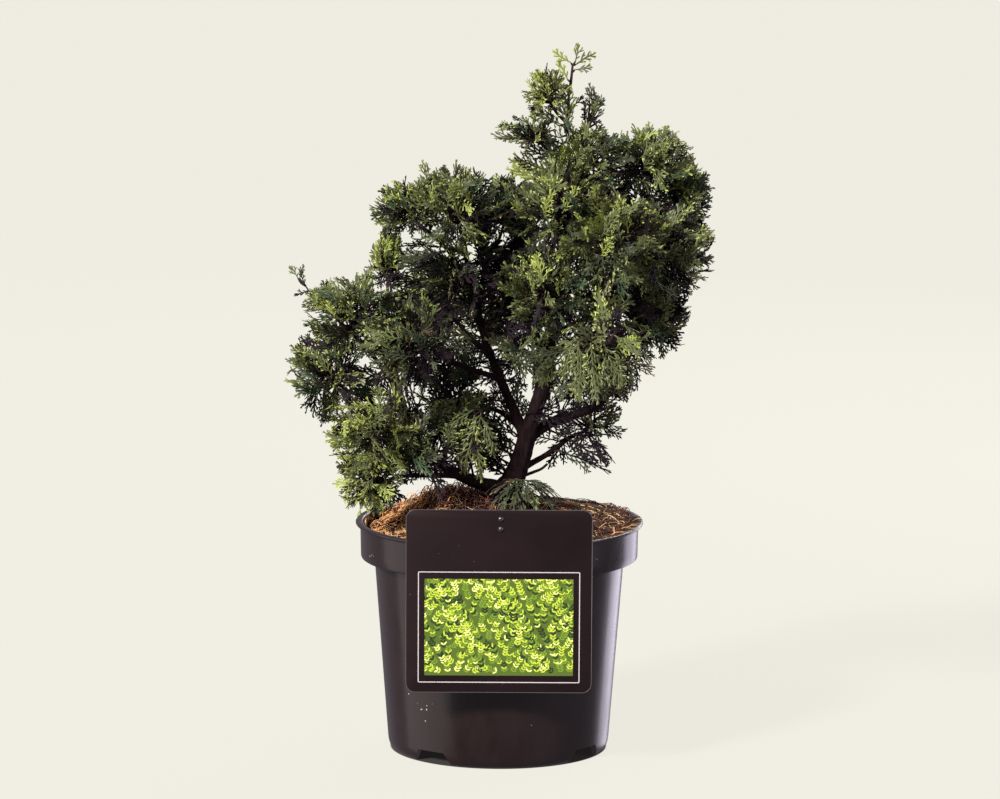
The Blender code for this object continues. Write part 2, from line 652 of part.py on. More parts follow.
class Growth:
    """The twigs and fans of one mass, which keep to its space and clear of the limbs."""

    def __init__(self, mass, shapes):
        self.mass = mass
        self.space = Space(mass, shapes)
        self.surfaces = []
        self.trees = []
        self.limb_trees = []
        for name, (line, radii) in shapes.items():
            sides = TRUNK_SIDES if name == "trunk" else LIMB_SIDES
            around = tube_surface(line, [radius + LIMB_CLEARANCE for radius in radii], sides)
            self.limb_trees.append(BVHTree.FromPolygons(*around))

    def touches_limb(self, surface):
        """Whether a surface comes too near the trunk or a bough."""
        tree = BVHTree.FromPolygons(*surface)
        return any(tree.overlap(other) for other in self.limb_trees)

    def keep(self, surface):
        """Adds a surface to the mass."""
        self.surfaces.append(surface)
        self.trees.append(BVHTree.FromPolygons(*surface))

    def add_core(self, dice):
        """Adds the lumpy core of a dense mass."""
        ball = bmesh.new()
        bmesh.ops.create_icosphere(ball, subdivisions=1, radius=1)
        turn = Euler([dice.uniform(-math.pi, math.pi) for _ in range(3)])
        ball.transform(turn.to_matrix().to_4x4())
        points = []
        for vertex in ball.verts:
            room = self.space.room(self.space.middle, vertex.co, self.mass.longest)
            depth = room * self.mass.core * dice.uniform(*CORE_LUMPS)
            points.append(self.space.middle + vertex.co * depth)
        faces = [[vertex.index for vertex in face.verts] for face in ball.faces]
        ball.free()
        self.keep((points, faces))

    def add_twig(self, start, end):
        """Adds a three-sided twig where it is clear of the limbs. The first one is the stem."""
        surface = tube_surface([start, end], [TWIG_RADIUS, TWIG_TIP_RADIUS], 3)
        if self.surfaces and self.touches_limb(surface):
            return False
        self.keep(surface)
        return True

    def fitted_fan(self, foot, along, facing, ragged):
        """The surface and size of a fan that fills its space, or of a smaller one where a limb is near."""
        across = facing.cross(along)
        lobes = []
        for angle, share in zip(FAN_LOBE_ANGLES, ragged):
            direction = along * math.cos(angle) + across * math.sin(angle)
            lobes.append(self.space.room(foot, direction, self.mass.longest) * share)
        shortest = min(lobes)
        lobes = [min(lobe, shortest / FAN_SHORTEST_LOBE) for lobe in lobes]
        for shrink in FAN_SHRINK:
            sizes = [lobe * shrink for lobe in lobes]
            if max(sizes) < SHORTEST_FAN:
                return None, 0
            surface = fan_surface(foot, along, facing, sizes)
            if all(self.space.holds(p) for p in surface[0]) and not self.touches_limb(surface):
                return surface, sum(sizes)
        return None, 0

    def add_fan(self, foot, along, spin, ragged):
        """Adds a fan, turned about its length to the place where it is large and crosses few others."""
        best, best_score = None, 0
        for turn in range(FAN_TURNS):
            facing = upright_facing(along, spin + math.pi * turn / FAN_TURNS)
            surface, size = self.fitted_fan(foot, along, facing, ragged)
            if surface is None:
                continue
            tree = BVHTree.FromPolygons(*surface)
            crossings = sum(len(tree.overlap(other)) for other in self.trees)
            score = size - crossings * CROSSING_COST
            if best is None or score > best_score:
                best, best_score = surface, score
        if best is not None:
            self.keep(best)


def upright_facing(along, spin):
    """A direction across the growth of a spray, turned by spin from the one that looks most upward."""
    up = Vector((0, 0, 1))
    facing = up - along * up.dot(along)
    if facing.length < NEAR:
        facing = Vector((1, 0, 0)) - along * along.x
    facing.normalize()
    return facing * math.cos(spin) + along.cross(facing) * math.sin(spin)


def stem_of(mass, middle, shapes):
    """Where a mass's stem starts: at its limb's tip, or on the side of a limb that runs on."""
    line, radii = shapes[mass.limb]
    foot = point_along(line, mass.along)
    towards = (middle - foot).normalized()
    if mass.along >= 1.0:
        return foot + (line[-1] - line[-2]).normalized() * GAP, towards
    index = min(int(mass.along * (len(line) - 1)), len(line) - 2)
    axis = (line[index + 1] - line[index]).normalized()
    outward = (towards - axis * towards.dot(axis)).normalized()
    return foot + outward * (radii[index] + GAP * 2 + TWIG_RADIUS * abs(towards.dot(axis))), towards


def spiral_directions(axis, count, spin, widest):
    """Evenly spread directions round an axis, by the golden angle, the last of them along the axis."""
    found = []
    for step in range(count):
        polar = math.acos(max(-1.0, 1 - widest * (1 - (step + 0.5) / count)))
        around = upright_facing(axis, spin + GOLDEN_ANGLE * step)
        found.append(axis * math.cos(polar) + around * math.sin(polar))
    return found


def grow(mass, shapes):
    """The twigs and fans of one mass, by a seeded rule from one stem.

    The stem runs from the limb to just past the middle of the mass, where a dense mass has its core. Side twigs
    leave the stem in a golden spiral and end in a fan each. The other fans point evenly to all sides but the
    stem's, bent up or down by the mass's lift, and all reach to the edge of the mass.
    """
    dice = random.Random(mass.name)
    turns = 2 * math.pi
    growth = Growth(mass, shapes)
    space = growth.space
    start, towards = stem_of(mass, space.middle, shapes)
    tip = space.middle + towards * (min(mass.reach) * STEM_PAST_MIDDLE)
    growth.add_twig(start, tip)
    if mass.core:
        growth.add_core(dice)
    axis = (tip - start).normalized()
    feet = []
    sideways = spiral_directions(axis, mass.twigs, dice.uniform(0, turns), TWIGS_WIDEST)
    for step, direction in enumerate(sideways):
        root = start.lerp(tip, TWIGS_START + (1 - TWIGS_START) * step / mass.twigs)
        along = (direction + Vector((0, 0, mass.lift))).normalized()
        share = TWIG_SHARE + mass.core * CORE_TWIG_SHARE
        end = root + along * space.room(root, along, mass.longest * LONGEST_TWIG) * share
        if space.holds(end) and growth.add_twig(root, end):
            feet.append((end, along))
    for direction in spiral_directions(axis, mass.fans, dice.uniform(0, turns), FANS_WIDEST):
        along = (direction + Vector((0, 0, mass.lift))).normalized()
        feet.append((start.lerp(tip, dice.uniform(*FAN_FOOT_RANGE)), along))
    for foot, along in feet:
        ragged = [dice.uniform(*FAN_LOBE_RANGE) for _ in FAN_LOBE_ANGLES]
        growth.add_fan(foot, along, dice.uniform(0, math.pi), ragged)
    return growth


def main_body(made):
    """Drops loose scraps and sealed hollows from a joined mass, and gives the share of faces that stays."""
    shape = bmesh.new()
    shape.from_mesh(made.data)
    left = set(shape.faces)
    bodies = []
    while left:
        found = {left.pop()}
        front = set(found)
        while front:
            near = {other for face in front for edge in face.edges for other in edge.link_faces}
            front = near & left
            left -= front
            found |= front
        bodies.append(found)
    largest = max(bodies, key=len)
    rest = [face for body in bodies if body is not largest for face in body]
    share = len(largest) / len(shape.faces)
    bmesh.ops.delete(shape, geom=rest, context="FACES")
    shape.to_mesh(made.data)
    shape.free()
    return share


def sound(made):
    """Whether a mesh is one closed surface that touches itself nowhere, once near points count as one."""
    shape = bmesh.new()
    shape.from_mesh(made.data)
    bmesh.ops.remove_doubles(shape, verts=shape.verts, dist=NEAR)
    whole = all(edge.is_manifold for edge in shape.edges)
    shape.free()
    return whole


def clear_of_limbs(core, surface, shapes):
    """Cuts a core clear of each limb that runs through it."""
    tree = BVHTree.FromPolygons(*surface)
    for name, (line, radii) in shapes.items():
        sides = TRUNK_SIDES if name == "trunk" else LIMB_SIDES
        around = tube_surface(line, [radius + LIMB_CLEARANCE for radius in radii], sides)
        if tree.overlap(BVHTree.FromPolygons(*around)):
            combine(core, [place("clearance", *around)], "DIFFERENCE")


def mass_object(mass, surfaces, shapes, solver):
    """One mass as a single solid, all joined by one Boolean, and whether that came out well."""
    stem = place(mass.name, *surfaces[0])
    rest = [place("growth", *surface) for surface in surfaces[1:]]
    if mass.core:
        clear_of_limbs(rest[0], surfaces[1], shapes)
    combine(stem, rest, "UNION", solver)
    share = main_body(stem)
    return stem, share > WHOLE_SHARE and sound(stem)


def make_masses(shapes, finish):
    """Every mass of foliage, with its last fan left out as long as the joined solid isn't sound."""
    for mass in MASSES:
        surfaces = grow(mass, shapes).surfaces
        made, well = mass_object(mass, surfaces, shapes, "EXACT")
        while not well:
            bpy.data.objects.remove(made)
            made, well = mass_object(mass, surfaces, shapes, "MANIFOLD")
            if not well:
                surfaces.pop()
        made.data.materials.clear()
        made.data.materials.append(finish)


def main():
    """Builds the whole plant, from the pot up."""
    clear_scene()
    make_pot(material("pot_plastic", (0.028, 0.026, 0.028), 0.42))
    make_soil(material("soil_fibre", (0.16, 0.075, 0.04), 0.95))
    make_label(material("label_card", (0.022, 0.016, 0.018), 0.35))
    shapes = limb_shapes()
    make_limbs(shapes, material("bark", (0.075, 0.045, 0.035), 0.9))
    make_masses(shapes, material("foliage", (0.10, 0.17, 0.05), 0.55))


main()
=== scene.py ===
"""A dwarf hinoki cypress in a nursery pot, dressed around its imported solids.

Sizes are metres in the solids' frame: +Z up, the label at the front (-Y), the pot's foot on z = 0.
The boughs, twigs and sprays grow from the limbs by the same seeded rule as the solids, carried on to
finer twigs and flat fronds inside the same reach.
"""

from __future__ import annotations

import json
import logging
import math
import random
from collections.abc import Callable, Sequence
from dataclasses import dataclass, field, replace
from enum import Enum
from functools import cache

import bpy
import numpy as np
from mathutils import Matrix, Vector, noise

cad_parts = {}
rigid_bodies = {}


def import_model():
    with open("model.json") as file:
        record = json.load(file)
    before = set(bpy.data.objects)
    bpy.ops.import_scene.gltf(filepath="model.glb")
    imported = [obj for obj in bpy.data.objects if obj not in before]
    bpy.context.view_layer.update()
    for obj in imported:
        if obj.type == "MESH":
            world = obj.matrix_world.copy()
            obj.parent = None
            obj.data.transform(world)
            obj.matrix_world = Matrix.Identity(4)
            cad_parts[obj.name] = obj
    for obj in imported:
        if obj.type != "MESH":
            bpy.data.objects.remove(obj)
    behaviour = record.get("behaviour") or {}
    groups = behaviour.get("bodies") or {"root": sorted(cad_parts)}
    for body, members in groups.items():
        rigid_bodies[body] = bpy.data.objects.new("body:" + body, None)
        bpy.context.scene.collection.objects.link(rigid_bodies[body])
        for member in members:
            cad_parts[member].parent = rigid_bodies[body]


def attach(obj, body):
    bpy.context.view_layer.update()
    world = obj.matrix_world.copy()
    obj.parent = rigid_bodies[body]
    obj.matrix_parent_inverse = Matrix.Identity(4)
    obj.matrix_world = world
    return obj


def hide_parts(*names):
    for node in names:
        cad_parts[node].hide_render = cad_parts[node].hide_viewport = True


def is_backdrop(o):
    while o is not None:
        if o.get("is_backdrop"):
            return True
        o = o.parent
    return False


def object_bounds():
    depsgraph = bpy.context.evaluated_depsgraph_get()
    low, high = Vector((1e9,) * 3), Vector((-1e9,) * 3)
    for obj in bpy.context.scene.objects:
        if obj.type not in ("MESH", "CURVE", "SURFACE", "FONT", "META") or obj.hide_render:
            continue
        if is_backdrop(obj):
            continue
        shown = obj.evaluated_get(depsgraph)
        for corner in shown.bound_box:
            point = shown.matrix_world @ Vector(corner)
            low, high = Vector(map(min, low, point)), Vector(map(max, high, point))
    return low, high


LOG = logging.getLogger("cypress")

Colour = tuple[float, float, float]
Point = tuple[float, float, float]
Box = tuple[Point, Point]
Mesh = tuple[np.ndarray, np.ndarray]
Outline = Sequence[tuple[float, float]]

GAP = 0.0003
GOLDEN_ANGLE = math.pi * (3 - math.sqrt(5))
FULL_TURN = 2 * math.pi
UP = Vector((0, 0, 1))
BODY = "root"


# Shader nodes and the effects that several finishes use


def solid(colour: Colour) -> tuple[float, float, float, float]:
    """A colour with full cover."""
    return (*colour, 1.0)


class Sketch:
    """A node tree under construction."""

    def __init__(self, tree: bpy.types.NodeTree) -> None:
        """Keeps the tree that nodes are added to."""
        self.tree = tree

    def add(self, kind: str, settings: dict | None = None, **values: object) -> bpy.types.Node:
        """Adds a shader node.

        Args:
            kind: The node's type.
            settings: Properties of the node itself.
            **values: Input values or sockets to link, by input name with underscores for spaces.

        Returns:
            The new node.
        """
        node = self.tree.nodes.new("ShaderNode" + kind)
        for name, value in (settings or {}).items():
            setattr(node, name, value)
        for name, value in values.items():
            self.feed(node.inputs[name.replace("_", " ")], value)
        return node

    def feed(self, socket: bpy.types.NodeSocket, value: object) -> None:
        """Links a socket to an output, or sets its value.

        Args:
            socket: The input socket.
            value: An output socket, or a value.
        """
        if isinstance(value, bpy.types.NodeSocket):
            self.tree.links.new(value, socket)
        else:
            socket.default_value = value

    def place(self) -> bpy.types.NodeSocket:
        """The place on the object."""
        return self.add("TexCoord").outputs["Object"]

    def math(self, operation: str, first: object, second: object) -> bpy.types.NodeSocket:
        """The result of a sum with two values.

        Args:
            operation: The kind of sum.
            first: The first value or socket.
            second: The second value or socket.

        Returns:
            The socket of the result.
        """
        node = self.add("Math", {"operation": operation})
        self.feed(node.inputs[0], first)
        self.feed(node.inputs[1], second)
        return node.outputs[0]

    def mix(self, mask: object, low: object, high: object) -> bpy.types.NodeSocket:
        """The colour between two, where a mask says.

        Args:
            mask: How far the colour runs from low to high.
            low: The colour where the mask is 0.
            high: The colour where it is 1.

        Returns:
            The socket of the mixed colour.
        """
        node = self.add("Mix", {"data_type": "RGBA"}, Factor=mask)
        self.feed(node.inputs[6], low)
        self.feed(node.inputs[7], high)
        return node.outputs[2]

    def give(self, colour: bpy.types.NodeSocket, mask: bpy.types.NodeSocket) -> bpy.types.NodeTree:
        """Ends a group with the colour and the mask that it gives out.

        Args:
            colour: The socket of the colour.
            mask: The socket of the mask.

        Returns:
            The finished group.
        """
        out = self.tree.nodes.new("NodeGroupOutput")
        self.feed(out.inputs["Colour"], colour)
        self.feed(out.inputs["Mask"], mask)
        return self.tree


def start_group(name: str, **defaults: object) -> tuple[Sketch, bpy.types.bpy_prop_collection]:
    """Starts a node group that gives out a colour and a mask.

    Args:
        name: The group's name.
        **defaults: Each input's default number or colour, with underscores for spaces.

    Returns:
        The group's node tree, and its inputs by name.
    """
    group = bpy.data.node_groups.new(name, "ShaderNodeTree")
    for label, value in defaults.items():
        kind = "NodeSocketColor" if isinstance(value, tuple) else "NodeSocketFloat"
        socket = group.interface.new_socket(name=label.replace("_", " "), in_out="INPUT", socket_type=kind)
        socket.default_value = value
    for label, kind in (("Colour", "NodeSocketColor"), ("Mask", "NodeSocketFloat")):
        group.interface.new_socket(name=label, in_out="OUTPUT", socket_type=kind)
    return Sketch(group), group.nodes.new("NodeGroupInput").outputs


def mottle_group() -> bpy.types.NodeTree:
    """Cloudy change between two colours, with the cloud itself as a mask.

    Returns:
        The group.
    """
    sketch, inside = start_group(
        "mottle", Scale=60.0, Stretch=1.0, Detail=5.0, Dark=(0, 0, 0, 1), Light=(1, 1, 1, 1)
    )
    split = sketch.add("SeparateXYZ", Vector=sketch.place()).outputs
    height = sketch.math("MULTIPLY", split[2], inside["Stretch"])
    stretched = sketch.add("CombineXYZ", X=split[0], Y=split[1], Z=height).outputs[0]
    cloud = sketch.add(
        "TexNoise", Vector=stretched, Scale=inside["Scale"], Detail=inside["Detail"], Roughness=0.62
    ).outputs["Fac"]
    mask = sketch.add("MapRange", {"clamp": True}, Value=cloud, From_Min=0.33, From_Max=0.67).outputs["Result"]
    return sketch.give(sketch.mix(mask, inside["Dark"], inside["Light"]), mask)


def dust_group() -> bpy.types.NodeTree:
    """Pale specks and crumbs that settled on a surface.

    Returns:
        The group.
    """
    sketch, inside = start_group(
        "dust", Colour=(0, 0, 0, 1), Dust_Colour=(0.5, 0.4, 0.3, 1), Scale=260.0, Size=0.1, Patch=0.6
    )
    place = sketch.place()
    crumbs = sketch.add("TexVoronoi", Vector=place, Scale=inside["Scale"], Randomness=1.0).outputs["Distance"]
    patches = sketch.add("TexNoise", Vector=place, Scale=34.0, Detail=2.0).outputs["Fac"]
    small = sketch.math("LESS_THAN", crumbs, inside["Size"])
    here = sketch.math("GREATER_THAN", patches, inside["Patch"])
    mask = sketch.math("MULTIPLY", small, here)
    return sketch.give(sketch.mix(mask, inside["Colour"], inside["Dust Colour"]), mask)


class Effects:
    """The shared node groups, each made once."""

    made: dict[str, bpy.types.NodeTree] = {}
    makers: dict[str, Callable[[], bpy.types.NodeTree]] = {"mottle": mottle_group, "dust": dust_group}

    @classmethod
    def place(cls, sketch: Sketch, name: str, **values: object) -> bpy.types.bpy_prop_collection:
        """Places a shared group in a material.

        Args:
            sketch: The material's node tree.
            name: The group's name.
            **values: The group's input values or sockets.

        Returns:
            The group's outputs by name.
        """
        if name not in cls.made:
            cls.made[name] = cls.makers[name]()
        node = sketch.add("Group", {"node_tree": cls.made[name]})
        for label, value in values.items():
            sketch.feed(node.inputs[label.replace("_", " ")], value)
        return node.outputs


@dataclass(frozen=True)
class PlainFinish:
    """One even colour, for foliage, fibres and print that are dealt out piece by piece."""

    name: str
    colour: Colour
    roughness: float = 0.55
    specular: float = 0.35

    def start(self) -> tuple[bpy.types.Material, Sketch, bpy.types.bpy_prop_collection]:
        """Starts the material: gives it, its node tree and the shader's inputs.

        Returns:
            The material, its node tree and the shader's inputs.
        """
        made = bpy.data.materials.new(self.name)
        made.use_nodes = True
        inputs = made.node_tree.nodes["Principled BSDF"].inputs
        inputs["Roughness"].default_value = self.roughness
        inputs["Specular IOR Level"].default_value = self.specular
        return made, Sketch(made.node_tree), inputs

    @cache
    def material(self) -> bpy.types.Material:
        """The finish's one material.

        Returns:
            The material.
        """
        made, _, inputs = self.start()
        inputs["Base Color"].default_value = solid(self.colour)
        return made


@dataclass(frozen=True)
class CloudyFinish(PlainFinish):
    """A finish that clouds between its colour and a lighter one, with specks, and with gloss or bumps where set."""

    light: Colour = (1.0, 1.0, 1.0)
    scale: float = 60.0
    stretch: float = 1.0
    detail: float = 5.0
    speck: Colour = (0.5, 0.4, 0.3)
    speck_scale: float = 260.0
    speck_size: float = 0.1
    speck_patch: float = 0.6
    coat: float = 0.0
    coat_roughness: float = 0.0
    smear: tuple[float, float] | None = None
    grain_scale: float = 0.0
    bump: float = 0.0
    bump_depth: float = 0.0

    @cache
    def material(self) -> bpy.types.Material:
        """The finish's one material.

        Returns:
            The material.
        """
        made, sketch, inputs = self.start()
        if self.coat:
            inputs["Coat Weight"].default_value = self.coat
            inputs["Coat Roughness"].default_value = self.coat_roughness
        cloud = Effects.place(
            sketch, "mottle", Scale=self.scale, Stretch=self.stretch, Detail=self.detail,
            Dark=solid(self.colour), Light=solid(self.light),
        )
        specks = Effects.place(
            sketch, "dust", Colour=cloud["Colour"], Dust_Colour=solid(self.speck),
            Scale=self.speck_scale, Size=self.speck_size, Patch=self.speck_patch,
        )
        sketch.feed(inputs["Base Color"], specks["Colour"])
        if self.smear:
            low, high = self.smear
            rough = sketch.add("MapRange", Value=cloud["Mask"], To_Min=low, To_Max=high)
            sketch.feed(inputs["Roughness"], rough.outputs["Result"])
        if self.bump:
            height = cloud["Mask"]
            if self.grain_scale:
                grain = sketch.add("TexNoise", Vector=sketch.place(), Scale=self.grain_scale, Detail=3.0)
                height = grain.outputs["Fac"]
            bump = sketch.add("Bump", Strength=self.bump, Distance=self.bump_depth, Height=height)
            sketch.feed(inputs["Normal"], bump.outputs["Normal"])
        return made


# Semi-gloss moulded plastic, near black, with smears and a few crumbs of dried soil
POT_PLASTIC = CloudyFinish(
    "pot_plastic", (0.0100, 0.0038, 0.0036), 0.28, 0.42, light=(0.0180, 0.0092, 0.0086),
    scale=38.0, stretch=0.35, detail=6.0, speck=(0.42, 0.33, 0.27), speck_scale=300.0, speck_size=0.16,
    speck_patch=0.66, coat=0.18, coat_roughness=0.12, smear=(0.22, 0.36), grain_scale=900.0, bump=0.12,
    bump_depth=0.0002,
)
# Crumbly peat between the fibres of the root ball
PEAT = CloudyFinish(
    "peat", (0.010, 0.006, 0.005), 0.95, 0.2, light=(0.085, 0.042, 0.026), scale=150.0, detail=8.0,
    speck=(0.30, 0.17, 0.09), speck_scale=620.0, speck_size=0.25, speck_patch=0.5, bump=0.7, bump_depth=0.0015,
)
# Dark red-brown bark that peels in long shreds
BARK = CloudyFinish(
    "bark", (0.006, 0.0030, 0.0038), 0.90, 0.12, light=(0.023, 0.0105, 0.0110), scale=420.0, stretch=0.16,
    detail=7.0, speck=(0.060, 0.034, 0.030), speck_scale=800.0, speck_size=0.2, speck_patch=0.58, bump=0.6,
    bump_depth=0.0006,
)
# Satin dark brown printed card
CARD_STOCK = CloudyFinish(
    "label_card", (0.0085, 0.0026, 0.0029), 0.34, 0.38, light=(0.0130, 0.0046, 0.0050), scale=22.0, detail=2.0,
    speck=(0.20, 0.17, 0.15), speck_scale=420.0, speck_size=0.08, speck_patch=0.62, coat=0.15,
    coat_roughness=0.15,
)
TWIG_BARK = PlainFinish("twig_bark", (0.035, 0.020, 0.016), 0.85, 0.2)


# Meshes


class Surface:
    """Points and triangles that are gathered for one piece."""

    def __init__(self) -> None:
        """Starts empty."""
        self.points: list[np.ndarray] = []
        self.faces: list[np.ndarray] = []
        self.count = 0

    def add(self, points: np.ndarray, faces: np.ndarray) -> None:
        """Adds a block of points and the triangles between them.

        Args:
            points: One point a row.
            faces: The three points of one triangle a row.
        """
        self.points.append(points)
        self.faces.append(faces + self.count)
        self.count += len(points)

    def gathered(self) -> Mesh:
        """All the points and all the triangles."""
        return np.concatenate(self.points), np.concatenate(self.faces)


def mesh_piece(
    name: str, surface: Surface, finish: PlainFinish, smooth: bool, nodes: Sequence[str] = ()
) -> bpy.types.Object:
    """Makes one piece of the model that rides on the body.

    Args:
        name: The piece's name.
        surface: Its points and triangles.
        finish: Its finish.
        smooth: Whether it is shaded smooth.
        nodes: The solids that it stands for.

    Returns:
        The new object.
    """
    points, faces = surface.gathered()
    mesh = bpy.data.meshes.new(name)
    mesh.vertices.add(len(points))
    mesh.vertices.foreach_set("co", points.astype(np.float32).ravel())
    mesh.loops.add(faces.size)
    mesh.loops.foreach_set("vertex_index", faces.astype(np.int32).ravel())
    mesh.polygons.add(len(faces))
    mesh.polygons.foreach_set("loop_start", np.arange(0, faces.size, 3, dtype=np.int32))
    mesh.polygons.foreach_set("use_smooth", np.full(len(faces), smooth))
    mesh.update(calc_edges=True)
    mesh.validate()
    mesh.materials.append(finish.material())
    piece = bpy.data.objects.new(name, mesh)
    bpy.context.scene.collection.objects.link(piece)
    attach(piece, BODY)
    if nodes:
        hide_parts(*nodes)
    LOG.info("%s: %d triangles", name, len(faces))
    return piece


def plain_piece(finish: PlainFinish, surface: Surface, smooth: bool) -> None:
    """Makes a piece that has the name of its plain finish."""
    mesh_piece(finish.name, surface, finish, smooth)


def grid_faces(rows: int, columns: int) -> np.ndarray:
    """Triangles between rings of points, ring after ring.

    Args:
        rows: How many rings there are.
        columns: How many points a ring has.

    Returns:
        One triangle a row.
    """
    row, column = np.meshgrid(np.arange(rows - 1), np.arange(columns), indexing="ij")
    after = (column + 1) % columns
    a, b = row * columns + column, row * columns + after
    c, d = a + columns, b + columns
    return np.stack([np.stack([a, b, d], -1), np.stack([a, d, c], -1)], 2).reshape(-1, 3)


def cap_faces(first: int, columns: int, outward_up: bool) -> np.ndarray:
    """A fan of triangles that closes one ring of points.

    Args:
        first: The ring's first point.
        columns: How many points it has.
        outward_up: Whether the ring runs the way of its outward side.

    Returns:
        One triangle a row.
    """
    step = np.arange(1, columns - 1)
    fan = np.stack([np.full_like(step, first), first + step, first + step + 1], -1)
    return fan if outward_up else fan[:, ::-1]


def drum_faces(rows: int, columns: int) -> np.ndarray:
    """Triangles between rings of points, closed at both ends.

    Args:
        rows: How many rings there are.
        columns: How many points a ring has.

    Returns:
        One triangle a row.
    """
    last = (rows - 1) * columns
    return np.concatenate([grid_faces(rows, columns), cap_faces(0, columns, False), cap_faces(last, columns, True)])


def tube(line: Sequence[Vector], radii: Sequence[float], sides: int) -> Mesh:
    """A closed tapering tube.

    Args:
        line: The points along its middle.
        radii: Its radius at each point.
        sides: How many sides it has.

    Returns:
        Its points and its triangles.
    """
    rings = []
    across = Vector((0, 1, 0))
    angles = np.arange(sides) * (FULL_TURN / sides)
    for step, (centre, radius) in enumerate(zip(line, radii)):
        along = (line[min(len(line) - 1, step + 1)] - line[max(0, step - 1)]).normalized()
        across = across - along * across.dot(along)
        if across.length < 1e-4:
            across = along.orthogonal()
        across.normalize()
        side = along.cross(across)
        ring = np.outer(np.cos(angles), np.array(across)) + np.outer(np.sin(angles), np.array(side))
        rings.append(np.array(centre) + ring * radius)
    return np.concatenate(rings), drum_faces(len(line), sides)


def polar(radius: float, angle: float) -> tuple[float, float]:
    """The place at a radius and an angle."""
    return radius * math.cos(angle), radius * math.sin(angle)


def apply_modifiers(piece: bpy.types.Object) -> None:
    """Applies every modifier to a piece's mesh.

    Args:
        piece: The piece.
    """
    bpy.context.view_layer.update()
    view = bpy.context.evaluated_depsgraph_get()
    mesh = bpy.data.meshes.new_from_object(piece.evaluated_get(view), preserve_all_data_layers=True, depsgraph=view)
    piece.modifiers.clear()
    piece.data = mesh


def sharpen(piece: bpy.types.Object, angle: float) -> None:
    """Keeps edges sharp where faces meet at more than an angle in degrees, and smooth elsewhere.

    Args:
        piece: The piece.
        angle: The least angle of a sharp edge, in degrees.
    """
    mesh = piece.data
    mesh.polygons.foreach_set("use_smooth", np.full(len(mesh.polygons), True))
    mesh.set_sharp_from_angle(angle=math.radians(angle))


# The pot and its root ball


